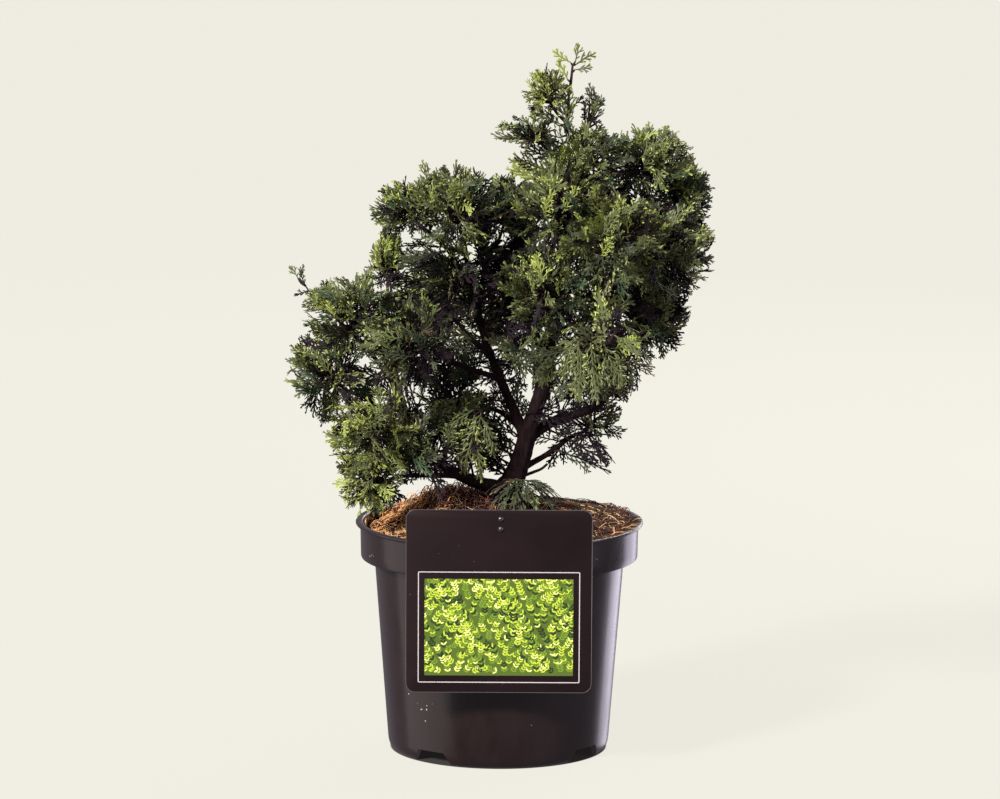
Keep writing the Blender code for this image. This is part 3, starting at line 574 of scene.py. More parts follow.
@dataclass
class Pot:
    """The round nursery pot: a thin lip, a stepped collar, a tapered wall and four drainage notches."""

    height: float = 0.152
    foot_radius: float = 0.0725
    shoulder_radius: float = 0.0825
    collar_radius: float = 0.0915
    collar_flare: float = 0.0004
    lip_radius: float = 0.095
    collar_height: float = 0.024
    lip_height: float = 0.0018
    wall: float = 0.0016
    wall_rings: int = 8
    floor_height: float = 0.0092
    pad_radius: float = 0.016
    segments: int = 200
    notch_count: int = 4
    notch_first: float = math.radians(-37.5)
    notch_width: float = 0.033
    notch_top_width: float = 0.021
    notch_height: float = 0.0085
    sharp_angle: float = 32

    @property
    def inside(self) -> float:
        """The radius inside the collar."""
        return self.collar_radius - self.wall

    def profile(self) -> Outline:
        """Radius and height of the section, down the inside, across the floor and up the outside.

        Returns:
            The corners, from the middle of the inside to the middle of the pad.
        """
        shoulder, top, wall, side = self.height - self.collar_height, self.height, self.wall, self.shoulder_radius
        floor, floor_top = self.floor_height, self.floor_height + wall
        collar, lip, foot, pad = self.collar_radius, self.lip_radius, self.foot_radius, self.pad_radius
        flare, brim, under = self.collar_flare, collar + self.collar_flare, top - self.lip_height
        shares = [step / self.wall_rings for step in range(self.wall_rings + 1)]
        outside = [
            (side + (foot + 0.0008 - side) * share, shoulder - 0.0006 + (0.0085 - shoulder) * share)
            for share in shares
        ]
        return [
            (0.0001, floor_top), (foot - wall - 0.002, floor_top), (foot - wall, floor_top + 0.002),
            (side - wall, shoulder + wall - 0.001), (side - wall + 0.001, shoulder + wall),
            (collar - wall - 0.001, shoulder + wall), (collar - wall, shoulder + wall + 0.001),
            (brim - wall - 0.0002, top - 0.0008), (brim - wall + 0.0003, top - 0.0002),
            (brim - wall + 0.0009, top), (lip - 0.0007, top), (lip - 0.0002, top - 0.0002), (lip, top - 0.0007),
            (lip, under + 0.0005), (lip - 0.0003, under), (brim + 0.0007, under - 0.0003),
            (brim + 0.0001, under - 0.0010), (collar + flare * 0.8, top - self.collar_height * 0.35),
            (collar + flare * 0.3, top - self.collar_height * 0.75), (collar, shoulder + 0.0011),
            (collar - 0.0003, shoulder + 0.0003), (collar - 0.0011, shoulder), (side + 0.0008, shoulder),
            *outside,
            (foot + 0.0005, 0.0052), (foot - 0.0001, 0.0030), (foot - 0.0009, 0.0012), (foot - 0.0022, 0.0002),
            (foot - 0.0030, 0.0), (foot - 0.0042, 0.0), (foot - 0.0036, floor), (pad + 0.001, floor),
            (pad, 0.0004), (pad - 0.0004, 0.0), (0.0001, 0.0),
        ]

    def notch_cutter(self, angle: float) -> bpy.types.Object:
        """A wedge that opens one drainage notch, at an angle from the front.

        Args:
            angle: Where the notch is, turned from the front.

        Returns:
            The wedge.
        """
        outward = Vector((math.sin(angle), -math.cos(angle), 0))
        across = Vector((math.cos(angle), math.sin(angle), 0))
        corners = []
        for reach in (self.foot_radius - 0.012, self.foot_radius + 0.006):
            for width, height in ((self.notch_width, -0.002), (self.notch_top_width, self.notch_height)):
                for side in (-0.5, 0.5):
                    corners.append(outward * reach + across * (side * width) + Vector((0, 0, height)))
        faces = [(0, 2, 3, 1), (4, 5, 7, 6), (0, 1, 5, 4), (2, 6, 7, 3), (0, 4, 6, 2), (1, 3, 7, 5)]
        mesh = bpy.data.meshes.new("notch")
        mesh.from_pydata([tuple(c) for c in corners], [], faces)
        cutter = bpy.data.objects.new("notch", mesh)
        bpy.context.scene.collection.objects.link(cutter)
        return cutter

    def build(self) -> None:
        """Makes the pot and cuts its notches."""
        profile = np.array(self.profile())
        angles = np.arange(self.segments) * (FULL_TURN / self.segments)
        radius, height = profile[:, :1], np.broadcast_to(profile[:, 1:], (len(profile), self.segments))
        points = np.stack([radius * np.cos(angles), radius * np.sin(angles), height], -1).reshape(-1, 3)
        surface = Surface()
        surface.add(points, drum_faces(len(profile), self.segments)[:, ::-1])
        pot = mesh_piece("pot_shell", surface, POT_PLASTIC, True, ["pot"])
        for step in range(self.notch_count):
            cutter = self.notch_cutter(self.notch_first + FULL_TURN * step / self.notch_count)
            cut = pot.modifiers.new("notch", "BOOLEAN")
            cut.operation, cut.solver, cut.object = "DIFFERENCE", "EXACT", cutter
            apply_modifiers(pot)
            bpy.data.objects.remove(cutter)
        sharpen(pot, self.sharp_angle)


@dataclass
class RootBall:
    """Peat, coir fibres, roots, bark crumbs and moss that fill the pot and rise to the trunk."""

    pot: Pot
    edge_drop: float = 0.0058
    mound_top: float = 0.1630
    flat_radius: float = 0.019
    rings: int = 46
    columns: int = 220
    bed_depth: float = 0.018
    relief: float = 0.0016
    lump_scale: float = 90
    clod_scale: float = 260
    tilt: float = 0.0052
    # Height, middle across and back, and breadth across and back of each heap
    heaps: tuple[tuple[float, ...], ...] = (
        (0.0070, -0.030, -0.002, 0.022, 0.028),
        (0.0055, -0.046, 0.046, 0.024, 0.026),
    )
    # Middle and spread, across and back, of the fibres in each heap
    heap_spread: tuple[tuple[tuple[float, float], ...], ...] = (
        ((-0.030, 0.014), (-0.004, 0.02)),
        ((-0.046, 0.016), (0.044, 0.018)),
    )
    heaped_share: float = 0.30
    spill_from: float = 0.045
    fibres: int = 3600
    fibre_steps: int = 5
    fibre_length: tuple[float, float] = (0.006, 0.020)
    fibre_radius: tuple[float, float] = (0.00016, 0.00034)
    fibre_curl: float = 2.6
    roots: int = 14
    root_steps: int = 8
    root_radius: float = 0.00055
    root_depth: float = 0.0012
    crumbs: int = 900
    crumb_size: tuple[float, float] = (0.0004, 0.0016)
    moss_tufts: int = 320
    moss_at: tuple[float, float] = (0.30, 0.60)
    moss_ring: tuple[float, float] = (0.045, 0.0885)
    tuft_stems: int = 7
    tuft_height: tuple[float, float] = (0.0010, 0.0028)
    tuft_radii: tuple[float, ...] = (0.00028, 0.00024, 0.00006)

    def level(self, x: float, y: float) -> float:
        """Height of the smooth soil at a place.

        Args:
            x: The place to the right.
            y: The place to the back.

        Returns:
            The height.
        """
        edge = self.pot.inside - GAP
        share = min(1.0, max(0.0, (edge - math.hypot(x, y)) / (edge - self.flat_radius)))
        rise = math.sin(share * math.pi / 2) ** 1.1
        low = self.pot.height - self.edge_drop
        tilt = self.tilt * max(-0.45, min(1.0, x / edge)) * (1 - share)
        heap = sum(
            height * math.exp(-(((x - across) / broad) ** 2) - ((y - back) / deep) ** 2)
            for height, across, back, broad, deep in self.heaps
        )
        return low + (self.mound_top - low) * rise + tilt + heap

    def rough_level(self, x: float, y: float) -> float:
        """Height of the lumpy soil at a place."""
        lumps = noise.noise(Vector((x * self.lump_scale, y * self.lump_scale, 3)))
        lumps += 0.6 * noise.noise(Vector((x * self.clod_scale, y * self.clod_scale, 7)))
        return self.level(x, y) + self.relief * (lumps - 0.3)

    def lip_level(self, x: float, y: float) -> float:
        """Height that a fibre lies at where it spills over the pot's lip, or no height inside it."""
        return self.pot.height + 0.0004 if math.hypot(x, y) > self.pot.inside - 0.0012 else 0.0

    def build(self) -> None:
        """Makes the bed, its fibres, crumbs and moss."""
        self.build_bed()
        self.build_fibres()
        self.build_crumbs()
        self.build_moss()

    def build_bed(self) -> None:
        """The lumpy bed of peat, closed below."""
        edge = self.pot.inside - GAP
        angles = [FULL_TURN * column / self.columns for column in range(self.columns)]
        points = []
        for ring in range(self.rings + 1):
            for angle in angles:
                x, y = polar(edge * (ring / self.rings) ** 0.8, angle)
                points.append((x, y, self.rough_level(x, y)))
        points += [(*polar(edge, angle), self.pot.height - self.bed_depth) for angle in angles]
        surface = Surface()
        last = (self.rings + 1) * self.columns
        faces = [grid_faces(self.rings + 2, self.columns), cap_faces(last, self.columns, True)]
        surface.add(np.array(points), np.concatenate(faces))
        mesh_piece("peat_bed", surface, PEAT, True, ["soil"])

    def scatter(self, dice: random.Random) -> tuple[float, float]:
        """A seeded place on the bed, even over its area."""
        radius = (self.pot.inside - 0.0015) * math.sqrt(dice.random())
        return polar(radius, dice.uniform(0, FULL_TURN))

    def build_fibres(self) -> None:
        """Curled coir fibres of four browns that lie on and in the bed, and dark roots."""
        dice = random.Random("fibres")
        kinds = (
            ("fibres_rust", (0.21, 0.075, 0.042)),
            ("fibres_orange", (0.86, 0.42, 0.15)),
            ("fibres_dark", (0.060, 0.026, 0.022)),
            ("fibres_straw", (0.70, 0.49, 0.27)),
        )
        surfaces = [Surface() for _ in kinds]
        for _ in range(self.fibres):
            x, y = self.scatter(dice)
            heaped = dice.random() < self.heaped_share
            if heaped:
                x, y = dice.choice([(dice.gauss(*across), dice.gauss(*back)) for across, back in self.heap_spread])
            side = max(0.0, (-x - 0.035) / 0.06)
            far = max(0.0, (x - 0.015) / 0.07)
            weights = (0.42 - 0.16 * far, 0.05 + 1.8 * side, 0.36 - 0.32 * min(side, 1.0), 0.13 + 0.6 * side)
            kind = dice.choices(range(len(kinds)), weights)[0]
            self.add_fibre(surfaces[kind], x, y, heaped, dice)
        for _ in range(self.roots):
            self.add_root(surfaces[2], dice)
        for (name, colour), surface in zip(kinds, surfaces):
            plain_piece(PlainFinish(name, colour, 0.8, 0.25), surface, True)

    def add_fibre(self, surface: Surface, x: float, y: float, heaped: bool, dice: random.Random) -> None:
        """Adds one curled fibre that lies near the bed, or arches up in the heap.

        Args:
            surface: The piece that it joins.
            x: Where it starts, to the right.
            y: Where it starts, to the back.
            heaped: Whether it is in the heap.
            dice: The fibres' seeded source.
        """
        length, thick = dice.uniform(*self.fibre_length), dice.uniform(*self.fibre_radius)
        heading, curl = dice.uniform(0, FULL_TURN), dice.uniform(-self.fibre_curl, self.fibre_curl)
        limit = self.pot.lip_radius - 0.0010 if x > self.spill_from else self.pot.inside - 0.0012
        if heaped:
            arch = dice.uniform(0.0, 0.0048) * dice.choice((1.0, 1.0, 1.0, 2.0))
        else:
            arch = dice.uniform(-0.0006, 0.0018)
        line = []
        for step in range(self.fibre_steps + 1):
            if math.hypot(x, y) > limit:
                shrink = limit / math.hypot(x, y)
                x, y = x * shrink, y * shrink
            rise = arch * math.sin(math.pi * (step / self.fibre_steps)) + 0.0002
            line.append(Vector((x, y, max(self.rough_level(x, y), self.lip_level(x, y)) + rise)))
            heading += curl / self.fibre_steps
            x += math.cos(heading) * length / self.fibre_steps
            y += math.sin(heading) * length / self.fibre_steps
        surface.add(*tube(line, [thick] * len(line), 3))

    def add_root(self, surface: Surface, dice: random.Random) -> None:
        """Adds one thick dark root that loops up out of the heap and back into it.

        Args:
            surface: The piece that it joins.
            dice: The fibres' seeded source.
        """
        x, y = dice.gauss(-0.044, 0.012), dice.gauss(0.010, 0.016)
        heading, span = dice.uniform(-0.7, 0.7), dice.uniform(0.010, 0.022)
        height = dice.uniform(0.003, 0.0085)
        base = self.rough_level(x, y)
        fall = self.rough_level(x + math.cos(heading) * span, y + math.sin(heading) * span) - base
        line = []
        for step in range(self.root_steps + 1):
            share = step / self.root_steps
            u, v = x + math.cos(heading) * span * share, y + math.sin(heading) * span * share
            rise = height * math.sin(math.pi * share)
            line.append(Vector((u, v + dice.gauss(0, 0.0005), base + fall * share - self.root_depth + rise)))
        surface.add(*tube(line, [self.root_radius] * len(line), 5))

    def build_crumbs(self) -> None:
        """Small lumps of bark and peat."""
        dice = random.Random("crumbs")
        surface = Surface()
        corners = np.array([(1, 1, 1), (-1, -1, 1), (-1, 1, -1), (1, -1, -1), (0, 0, 1.6), (0, 0, -1.6)], float)
        faces = np.array([(0, 2, 4), (2, 1, 4), (1, 3, 4), (3, 0, 4), (2, 0, 5), (1, 2, 5), (3, 1, 5), (0, 3, 5)])
        for _ in range(self.crumbs):
            x, y = self.scatter(dice)
            size = dice.uniform(*self.crumb_size)
            turn = Matrix.Rotation(dice.uniform(0, FULL_TURN), 3, Vector([dice.gauss(0, 1) for _ in range(3)]))
            shape = corners * np.array([dice.uniform(0.5, 1.3) for _ in range(3)]) * size
            surface.add(shape @ np.array(turn).T + np.array((x, y, self.rough_level(x, y) + size * 0.3)), faces)
        plain_piece(PlainFinish("bark_crumbs", (0.055, 0.027, 0.020), 0.9, 0.2), surface, False)

    def build_moss(self) -> None:
        """Moss in little tufts at the right and the back."""
        dice = random.Random("moss")
        surface = Surface()
        for _ in range(self.moss_tufts):
            angle = dice.gauss(*self.moss_at)
            x, y = polar(dice.uniform(*self.moss_ring), angle)
            base = self.rough_level(x, y)
            for _ in range(self.tuft_stems):
                lean = Vector((dice.gauss(0, 0.5), dice.gauss(0, 0.5), 1)).normalized()
                foot = Vector((x + dice.gauss(0, 0.0008), y + dice.gauss(0, 0.0008), base - 0.0003))
                tall = dice.uniform(*self.tuft_height)
                line = [foot, foot + lean * tall * 0.6, foot + lean * tall]
                surface.add(*tube(line, self.tuft_radii, 3))
        plain_piece(PlainFinish("moss", (0.052, 0.060, 0.036), 0.8, 0.2), surface, False)


# The label


@dataclass
class Label:
    """The hanging label: a satin card, a thin line frame, a leaf-pattern picture and a clip over the lip."""

    pot: Pot
    side: float = 0.120
    top: float = 0.1765
    thickness: float = 0.0008
    corner: float = 0.006
    soft_edge: float = 0.00025
    sharp_angle: float = 40
    rim_radius: float = 0.00022
    front: float = -0.0972
    picture_middle: float = 0.0995
    line_size: tuple[float, float] = (0.1045, 0.0730)
    line_width: float = 0.0006
    line_depth: float = 0.00004
    picture_size: tuple[float, float] = (0.0960, 0.0635)
    sprig_rows: int = 12
    sprig_columns: int = 19
    leaf_pairs: int = 4
    leaf_corners: int = 8
    leaf_length: tuple[float, float] = (0.0022, 0.0032)
    leaf_breadth: tuple[float, float] = (0.0009, 0.0013)
    leaf_angle: float = 0.85
    pair_step: float = 0.0017
    clip_width: float = 0.014
    clip_top: float = 0.1715
    clip_leg: float = 0.0050
    clip_thickness: float = 0.001
    nib_heights: tuple[float, float] = (0.1706, 0.1640)
    nib_across: float = 0.001
    nib_reach: tuple[float, ...] = (-0.0001, 0.0006, 0.0012, 0.0015)
    nib_radii: tuple[float, ...] = (0.0019, 0.0018, 0.0012, 0.0003)

    @staticmethod
    def outline(width: float, height: float, corner: float, steps: int = 8) -> Outline:
        """Corner points of a rounded rectangle about its middle.

        Args:
            width: Its width.
            height: Its height.
            corner: The radius of its corners.
            steps: How many steps a corner is drawn in.

        Returns:
            The points, once round.
        """
        points = []
        for quarter, (sx, sy) in enumerate(((1, 1), (-1, 1), (-1, -1), (1, -1))):
            cx, cy = sx * (width / 2 - corner), sy * (height / 2 - corner)
            for step in range(steps + 1):
                u, v = polar(corner, math.pi / 2 * (quarter + step / steps))
                points.append((cx + u, cy + v))
        return points

    def build(self) -> None:
        """Makes the card, its frame, picture, nibs and clip."""
        self.build_card()
        self.build_line()
        self.build_picture()
        self.build_nibs()

    def build_card(self) -> None:
        """The card with softened edges, and its clip."""
        middle, edge = self.top - self.side / 2, self.soft_edge
        rings = (
            (self.side - 2 * edge, self.front),
            (self.side - edge * 0.6, self.front + edge * 0.3),
            (self.side, self.front + edge),
            (self.side, self.front + self.thickness - edge),
            (self.side - 2 * edge, self.front + self.thickness),
        )
        points = []
        for size, depth in rings:
            inset = (self.side - size) / 2
            points += [(u, depth, middle + v) for u, v in self.outline(size, size, self.corner - inset)]
        surface = Surface()
        surface.add(np.array(points), drum_faces(len(rings), len(points) // len(rings))[:, ::-1])
        self.add_clip(surface)
        sharpen(mesh_piece("label_card", surface, CARD_STOCK, True, ["label"]), self.sharp_angle)
        rim, size = Surface(), self.side - 0.0002
        line = [Vector((u, self.front + 0.0001, middle + v)) for u, v in self.outline(size, size, self.corner)]
        line.append(line[0])
        rim.add(*tube(line, [self.rim_radius] * len(line), 6))
        plain_piece(PlainFinish("card_edge", (0.10, 0.085, 0.085), 0.4, 0.5), rim, True)

    def add_clip(self, surface: Surface) -> None:
        """Adds the clip that hooks over the lip behind the card.

        Args:
            surface: The piece that it joins.
        """
        back, thick = self.front + self.thickness - 0.0002, self.clip_thickness
        inner, over = -self.pot.inside + GAP * 2, self.pot.height + GAP * 2
        foot, front = self.pot.height - self.clip_leg, back + 0.0016
        strip = (
            (back, self.clip_top), (back, over), (inner, over), (inner, foot), (inner + thick, foot),
            (inner + thick, over + thick), (front, over + thick), (front, self.clip_top),
        )
        half, count = self.clip_width / 2, len(strip)
        points = np.array([(side, y, z) for side in (-half, half) for y, z in strip])
        faces = []
        for a, b, c, d in ((0, 1, 6, 7), (1, 2, 5, 6), (2, 3, 4, 5)):
            faces += [(a, b, c), (a, c, d), (a + count, c + count, b + count), (a + count, d + count, c + count)]
        for step in range(count):
            after = (step + 1) % count
            faces += [(step, step + count, after + count), (step, after + count, after)]
        surface.add(points, np.array(faces))

    def flat_shape(self, surface: Surface, outline: Outline, depth: float) -> None:
        """Adds a flat shape that faces forward, as a fan about its first point."""
        points = np.array([(u, self.front - depth, self.picture_middle + v) for u, v in outline])
        surface.add(points, cap_faces(0, len(points), True))

    def build_line(self) -> None:
        """The thin pale line round the picture."""
        width, height = self.line_size
        outer = self.outline(width, height, 0.0009, 3)
        inner = self.outline(width - 2 * self.line_width, height - 2 * self.line_width, 0.0005, 3)
        rings = ((outer, 0.0), (outer, self.line_depth), (inner, self.line_depth), (inner, 0.0))
        points = [(u, self.front - depth, self.picture_middle + v) for ring, depth in rings for u, v in ring]
        surface = Surface()
        surface.add(np.array(points), grid_faces(len(rings), len(outer)))
        plain_piece(PlainFinish("card_line", (0.62, 0.58, 0.57), 0.45), surface, False)

    def build_picture(self) -> None:
        """The picture: a generic pattern of sprigs with paired oval leaves in four greens."""
        width, height = self.picture_size
        ground = Surface()
        self.flat_shape(ground, self.outline(width, height, 0.0004, 2), 0.00003)
        plain_piece(PlainFinish("print_ground", (0.095, 0.150, 0.022), 0.4), ground, False)
        dice = random.Random("sprigs")
        kinds = (
            ("print_dark", (0.022, 0.042, 0.014)),
            ("print_green", (0.200, 0.320, 0.030)),
            ("print_fresh", (0.560, 0.700, 0.060)),
            ("print_pale", (0.860, 0.920, 0.260)),
        )
        surfaces = [Surface() for _ in kinds]
        for row in range(self.sprig_rows):
            for column in range(self.sprig_columns):
                u = ((column + 0.5 * (row % 2)) / (self.sprig_columns - 0.5) - 0.5) * width
                v = ((row + 0.5) / self.sprig_rows - 0.5) * height
                heading = math.pi / 2 + 0.7 * math.sin(column * 0.9 + row * 0.5) + dice.gauss(0, 0.25)
                clump = noise.noise(Vector((u * 55, v * 55, 1)))
                weights = (0.8 - clump * 1.6, 1.2, 1.5 + clump * 2.0, 0.6 + clump * 1.5)
                for pair in range(self.leaf_pairs):
                    kind = dice.choices(range(len(kinds)), [max(0.05, w) for w in weights])[0]
                    depth = 0.00005 + 0.00001 * (pair + 4 * ((row + column) % 3))
                    self.add_leaf_pair(surfaces[kind], (u, v), heading, pair, depth, dice)
        for (name, colour), surface in zip(kinds, surfaces):
            plain_piece(PlainFinish(name, colour, 0.4), surface, False)

    def add_leaf_pair(
        self, surface: Surface, foot: tuple[float, float], heading: float, pair: int, depth: float, dice: random.Random
    ) -> None:
        """Adds two oval leaves of one sprig, cut at the picture's edge.

        Args:
            surface: The piece that the leaves join.
            foot: Where the sprig starts.
            heading: The angle that the sprig grows at.
            pair: Which pair of the sprig it is, from its foot.
            depth: How far in front of the card the leaves lie.
            dice: The picture's seeded source.
        """
        width, height = self.picture_size
        reach = self.pair_step * pair
        cu, cv = foot[0] + math.cos(heading) * reach, foot[1] + math.sin(heading) * reach
        for side in (-1, 1):
            angle = heading + side * self.leaf_angle
            length, broad = dice.uniform(*self.leaf_length), dice.uniform(*self.leaf_breadth)
            outline = []
            for step in range(self.leaf_corners):
                turn = FULL_TURN * step / self.leaf_corners
                forward = length * (0.5 + 0.5 * math.cos(turn))
                aside = broad * 0.5 * math.sin(turn)
                pu = cu + math.cos(angle) * forward - math.sin(angle) * aside
                pv = cv + math.sin(angle) * forward + math.cos(angle) * aside
                outline.append((max(-width / 2, min(width / 2, pu)), max(-height / 2, min(height / 2, pv))))
            self.flat_shape(surface, outline, depth)

    def build_nibs(self) -> None:
        """The two small nibs of the clip that show through the card."""
        surface = Surface()
        for height in self.nib_heights:
            line = [Vector((self.nib_across, self.front - out, height)) for out in self.nib_reach]
            surface.add(*tube(line, self.nib_radii, 20))
        plain_piece(PlainFinish("clip_nibs", (0.030, 0.022, 0.024), 0.22, 1.0), surface, True)


# The limbs


def read_rows(table: str) -> list[list[str]]:
    """The words of each row of a table."""
    return [line.split() for line in table.strip().splitlines()]


def numbers(words: Sequence[str], parts: int = 10000) -> tuple[float, ...]:
    """Numbers that are written in whole parts: by default metres, written in tenths of a millimetre."""
    return tuple(int(word) / parts for word in words)


@dataclass(frozen=True)
class Limb:
    """One tapering bough: where along its parent it leaves, its two radii, and the points it runs through."""

    name: str
    parent: str
    along: float
    radius: float
    tip_radius: float
    through: tuple[Point, ...]

    @classmethod
    def from_row(cls, row: list[str]) -> Limb:
        """The limb of one row of the table.

        Args:
            row: The words of the row.

        Returns:
            The limb.
        """
        name, parent, along, *sizes = row
        radius, tip_radius, *parts = numbers(sizes)
        points = tuple(tuple(parts[at:at + 3]) for at in range(0, len(parts), 3))
        return cls(name, parent, int(along) / 1000, radius, tip_radius, points)


TRUNK_LINE = (
    (0.000, 0.000, 0.1633), (0.010, 0.000, 0.182), (0.019, 0.000, 0.212), (0.030, 0.000, 0.250),
    (0.036, 0.000, 0.306), (0.046, 0.000, 0.368), (0.043, -0.001, 0.412), (0.044, -0.003, 0.436),
)

# Name, parent, share of the parent's length in thousandths, radius at the base and at the tip, and the
# points that it runs through, in tenths of a millimetre
LIMB_TABLE = """
bough_left trunk 35 46 20  -140 -30 1770  -440 -100 1950  -610 -130 2240  -770 -190 2680
bough_left_out bough_left 550 26 15  -720 -110 2220  -890 -130 2360
bough_left_low bough_left 400 22 14  -540 -220 2020  -650 -330 2090
bough_left_foot bough_left 240 22 14  -480 -240 1860  -670 -330 1870
bough_far_tip bough_left 820 18 11  -880 -90 2680  -1090 -30 2880
bough_left_spire bough_left 720 19 12  -730 -20 2720  -740 -80 3000
stem_left trunk 165 37 17  50 10 2350  -20 40 2500  -150 20 2900  -250 -120 3420
bough_upper_far stem_left 720 18 12  -330 -20 3300  -470 -90 3450
bough_upper_mid stem_left 620 17 12  -100 80 3220  -10 70 3380
bough_left_inner stem_left 300 21 13  -200 -180 2560  -420 -360 2680
bough_back_left stem_left 420 22 14  -220 260 2720  -370 480 2880
bough_centre_left stem_left 60 21 13  0 160 2220  -150 300 2230
bough_right trunk 170 40 18  400 100 2190  650 180 2260  860 170 2620
bough_right_low trunk 85 23 14  300 80 1940  430 180 2020  500 270 2050
bough_right_mid trunk 460 26 15  620 -40 3050  870 -100 3220
bough_right_shoulder trunk 670 21 13  620 30 3640  820 50 3740
bough_right_edge bough_right_mid 550 18 12  870 140 3300  1040 210 3500
bough_centre_right trunk 500 24 14  550 -240 3180  670 -460 3340
bough_right_hanging trunk 360 24 14  480 -260 2760  600 -490 2810
bough_centre_upper trunk 580 20 13  420 -180 3430  390 -310 3530
bough_centre_back trunk 320 23 14  220 240 2560  110 440 2630
bough_back_upper trunk 530 23 14  480 300 3250  540 560 3380
bough_back_right trunk 420 25 14  600 300 2850  840 550 2980
stub_right trunk 65 12 8  270 40 1855  315 50 1890
"""
LIMBS = tuple(Limb.from_row(row) for row in read_rows(LIMB_TABLE))


class Hue(Enum):
    """The foliage colours that sprays are dealt, from dark to light."""

    DARK = "dark"
    BROWN = "brown"
    DEEP = "deep"
    BLUE = "blue"
    MID = "mid"
    OLIVE = "olive"
    BRIGHT = "bright"
    LIME = "lime"


@dataclass(frozen=True)
class HueLook:
    """A hue's colour and shine, and the hues of the body and the fresh tips of a spray that is dealt it."""

    colour: Colour
    shine: float
    body: Hue
    tips: Hue


HUE_LOOKS = {
    # DARK is painted shade: a purple-black for fronds inside and under the crown, where shade falls
    Hue.DARK: HueLook((0.024, 0.0165, 0.021), 0.05, Hue.DARK, Hue.DARK),
    Hue.BROWN: HueLook((0.072, 0.055, 0.036), 0.15, Hue.BROWN, Hue.OLIVE),
    Hue.DEEP: HueLook((0.052, 0.061, 0.032), 0.25, Hue.DEEP, Hue.MID),
    Hue.BLUE: HueLook((0.050, 0.078, 0.042), 0.30, Hue.BLUE, Hue.MID),
    Hue.MID: HueLook((0.120, 0.138, 0.052), 0.30, Hue.MID, Hue.BRIGHT),
    Hue.OLIVE: HueLook((0.290, 0.310, 0.140), 0.30, Hue.MID, Hue.OLIVE),
    Hue.BRIGHT: HueLook((0.275, 0.320, 0.076), 0.35, Hue.MID, Hue.LIME),
    Hue.LIME: HueLook((0.480, 0.540, 0.130), 0.35, Hue.BRIGHT, Hue.LIME),
}


class Palette(Enum):
    """How often each hue, from dark to light, is dealt to the sprays of a mass."""

    # Painted light: mostly light hues, for masses that are to look sunlit
    LIGHT = (0, 0, 0.2, 0.2, 1.5, 6, 9, 16)
    FRESH = (0, 0, 2, 1, 5, 3, 7, 5)
    GREEN = (1.5, 0.5, 6, 3, 6, 1.5, 5, 1.6)
    COOL = (1.5, 0.3, 5, 6, 6, 1, 4.5, 1.4)
    PALE = (0.5, 0.7, 3, 1, 5, 6, 5, 2.5)
    # Painted shade: mostly dark hues, for masses and rows of fronds in the crown's shade
    SHADE = (6, 1.2, 7, 2, 3, 1, 0.8, 0)


class Side(Enum):
    """The sides of the crown that its pieces are kept apart by."""

    LEFT = "left"
    RIGHT = "right"
    BACK = "back"


BACK_FROM = 0.03
RIGHT_FROM = 0.01


@dataclass(frozen=True)
class Mass:
    """One mass of sprays.

    It has a limb, a middle, a reach along X, Y and Z, the share of the limb's length where its stem
    starts, a lift that bends growth up or down, how full it is, and the hues that it is dealt.
    """

    name: str
    limb: str
    middle: Point
    reach: Point
    along: float
    lift: float
    fullness: float
    palette: Palette

    @classmethod
    def from_row(cls, row: list[str]) -> Mass:
        """The mass of one row of the table."""
        return cls(*row[:2], numbers(row[2:5]), numbers(row[5:8]), *numbers(row[8:11], 100), Palette[row[11]])

    @property
    def side(self) -> Side:
        """Which side of the crown it is on.

        Returns:
            The side.
        """
        if self.middle[1] > BACK_FROM:
            return Side.BACK
        return Side.LEFT if self.middle[0] < RIGHT_FROM else Side.RIGHT
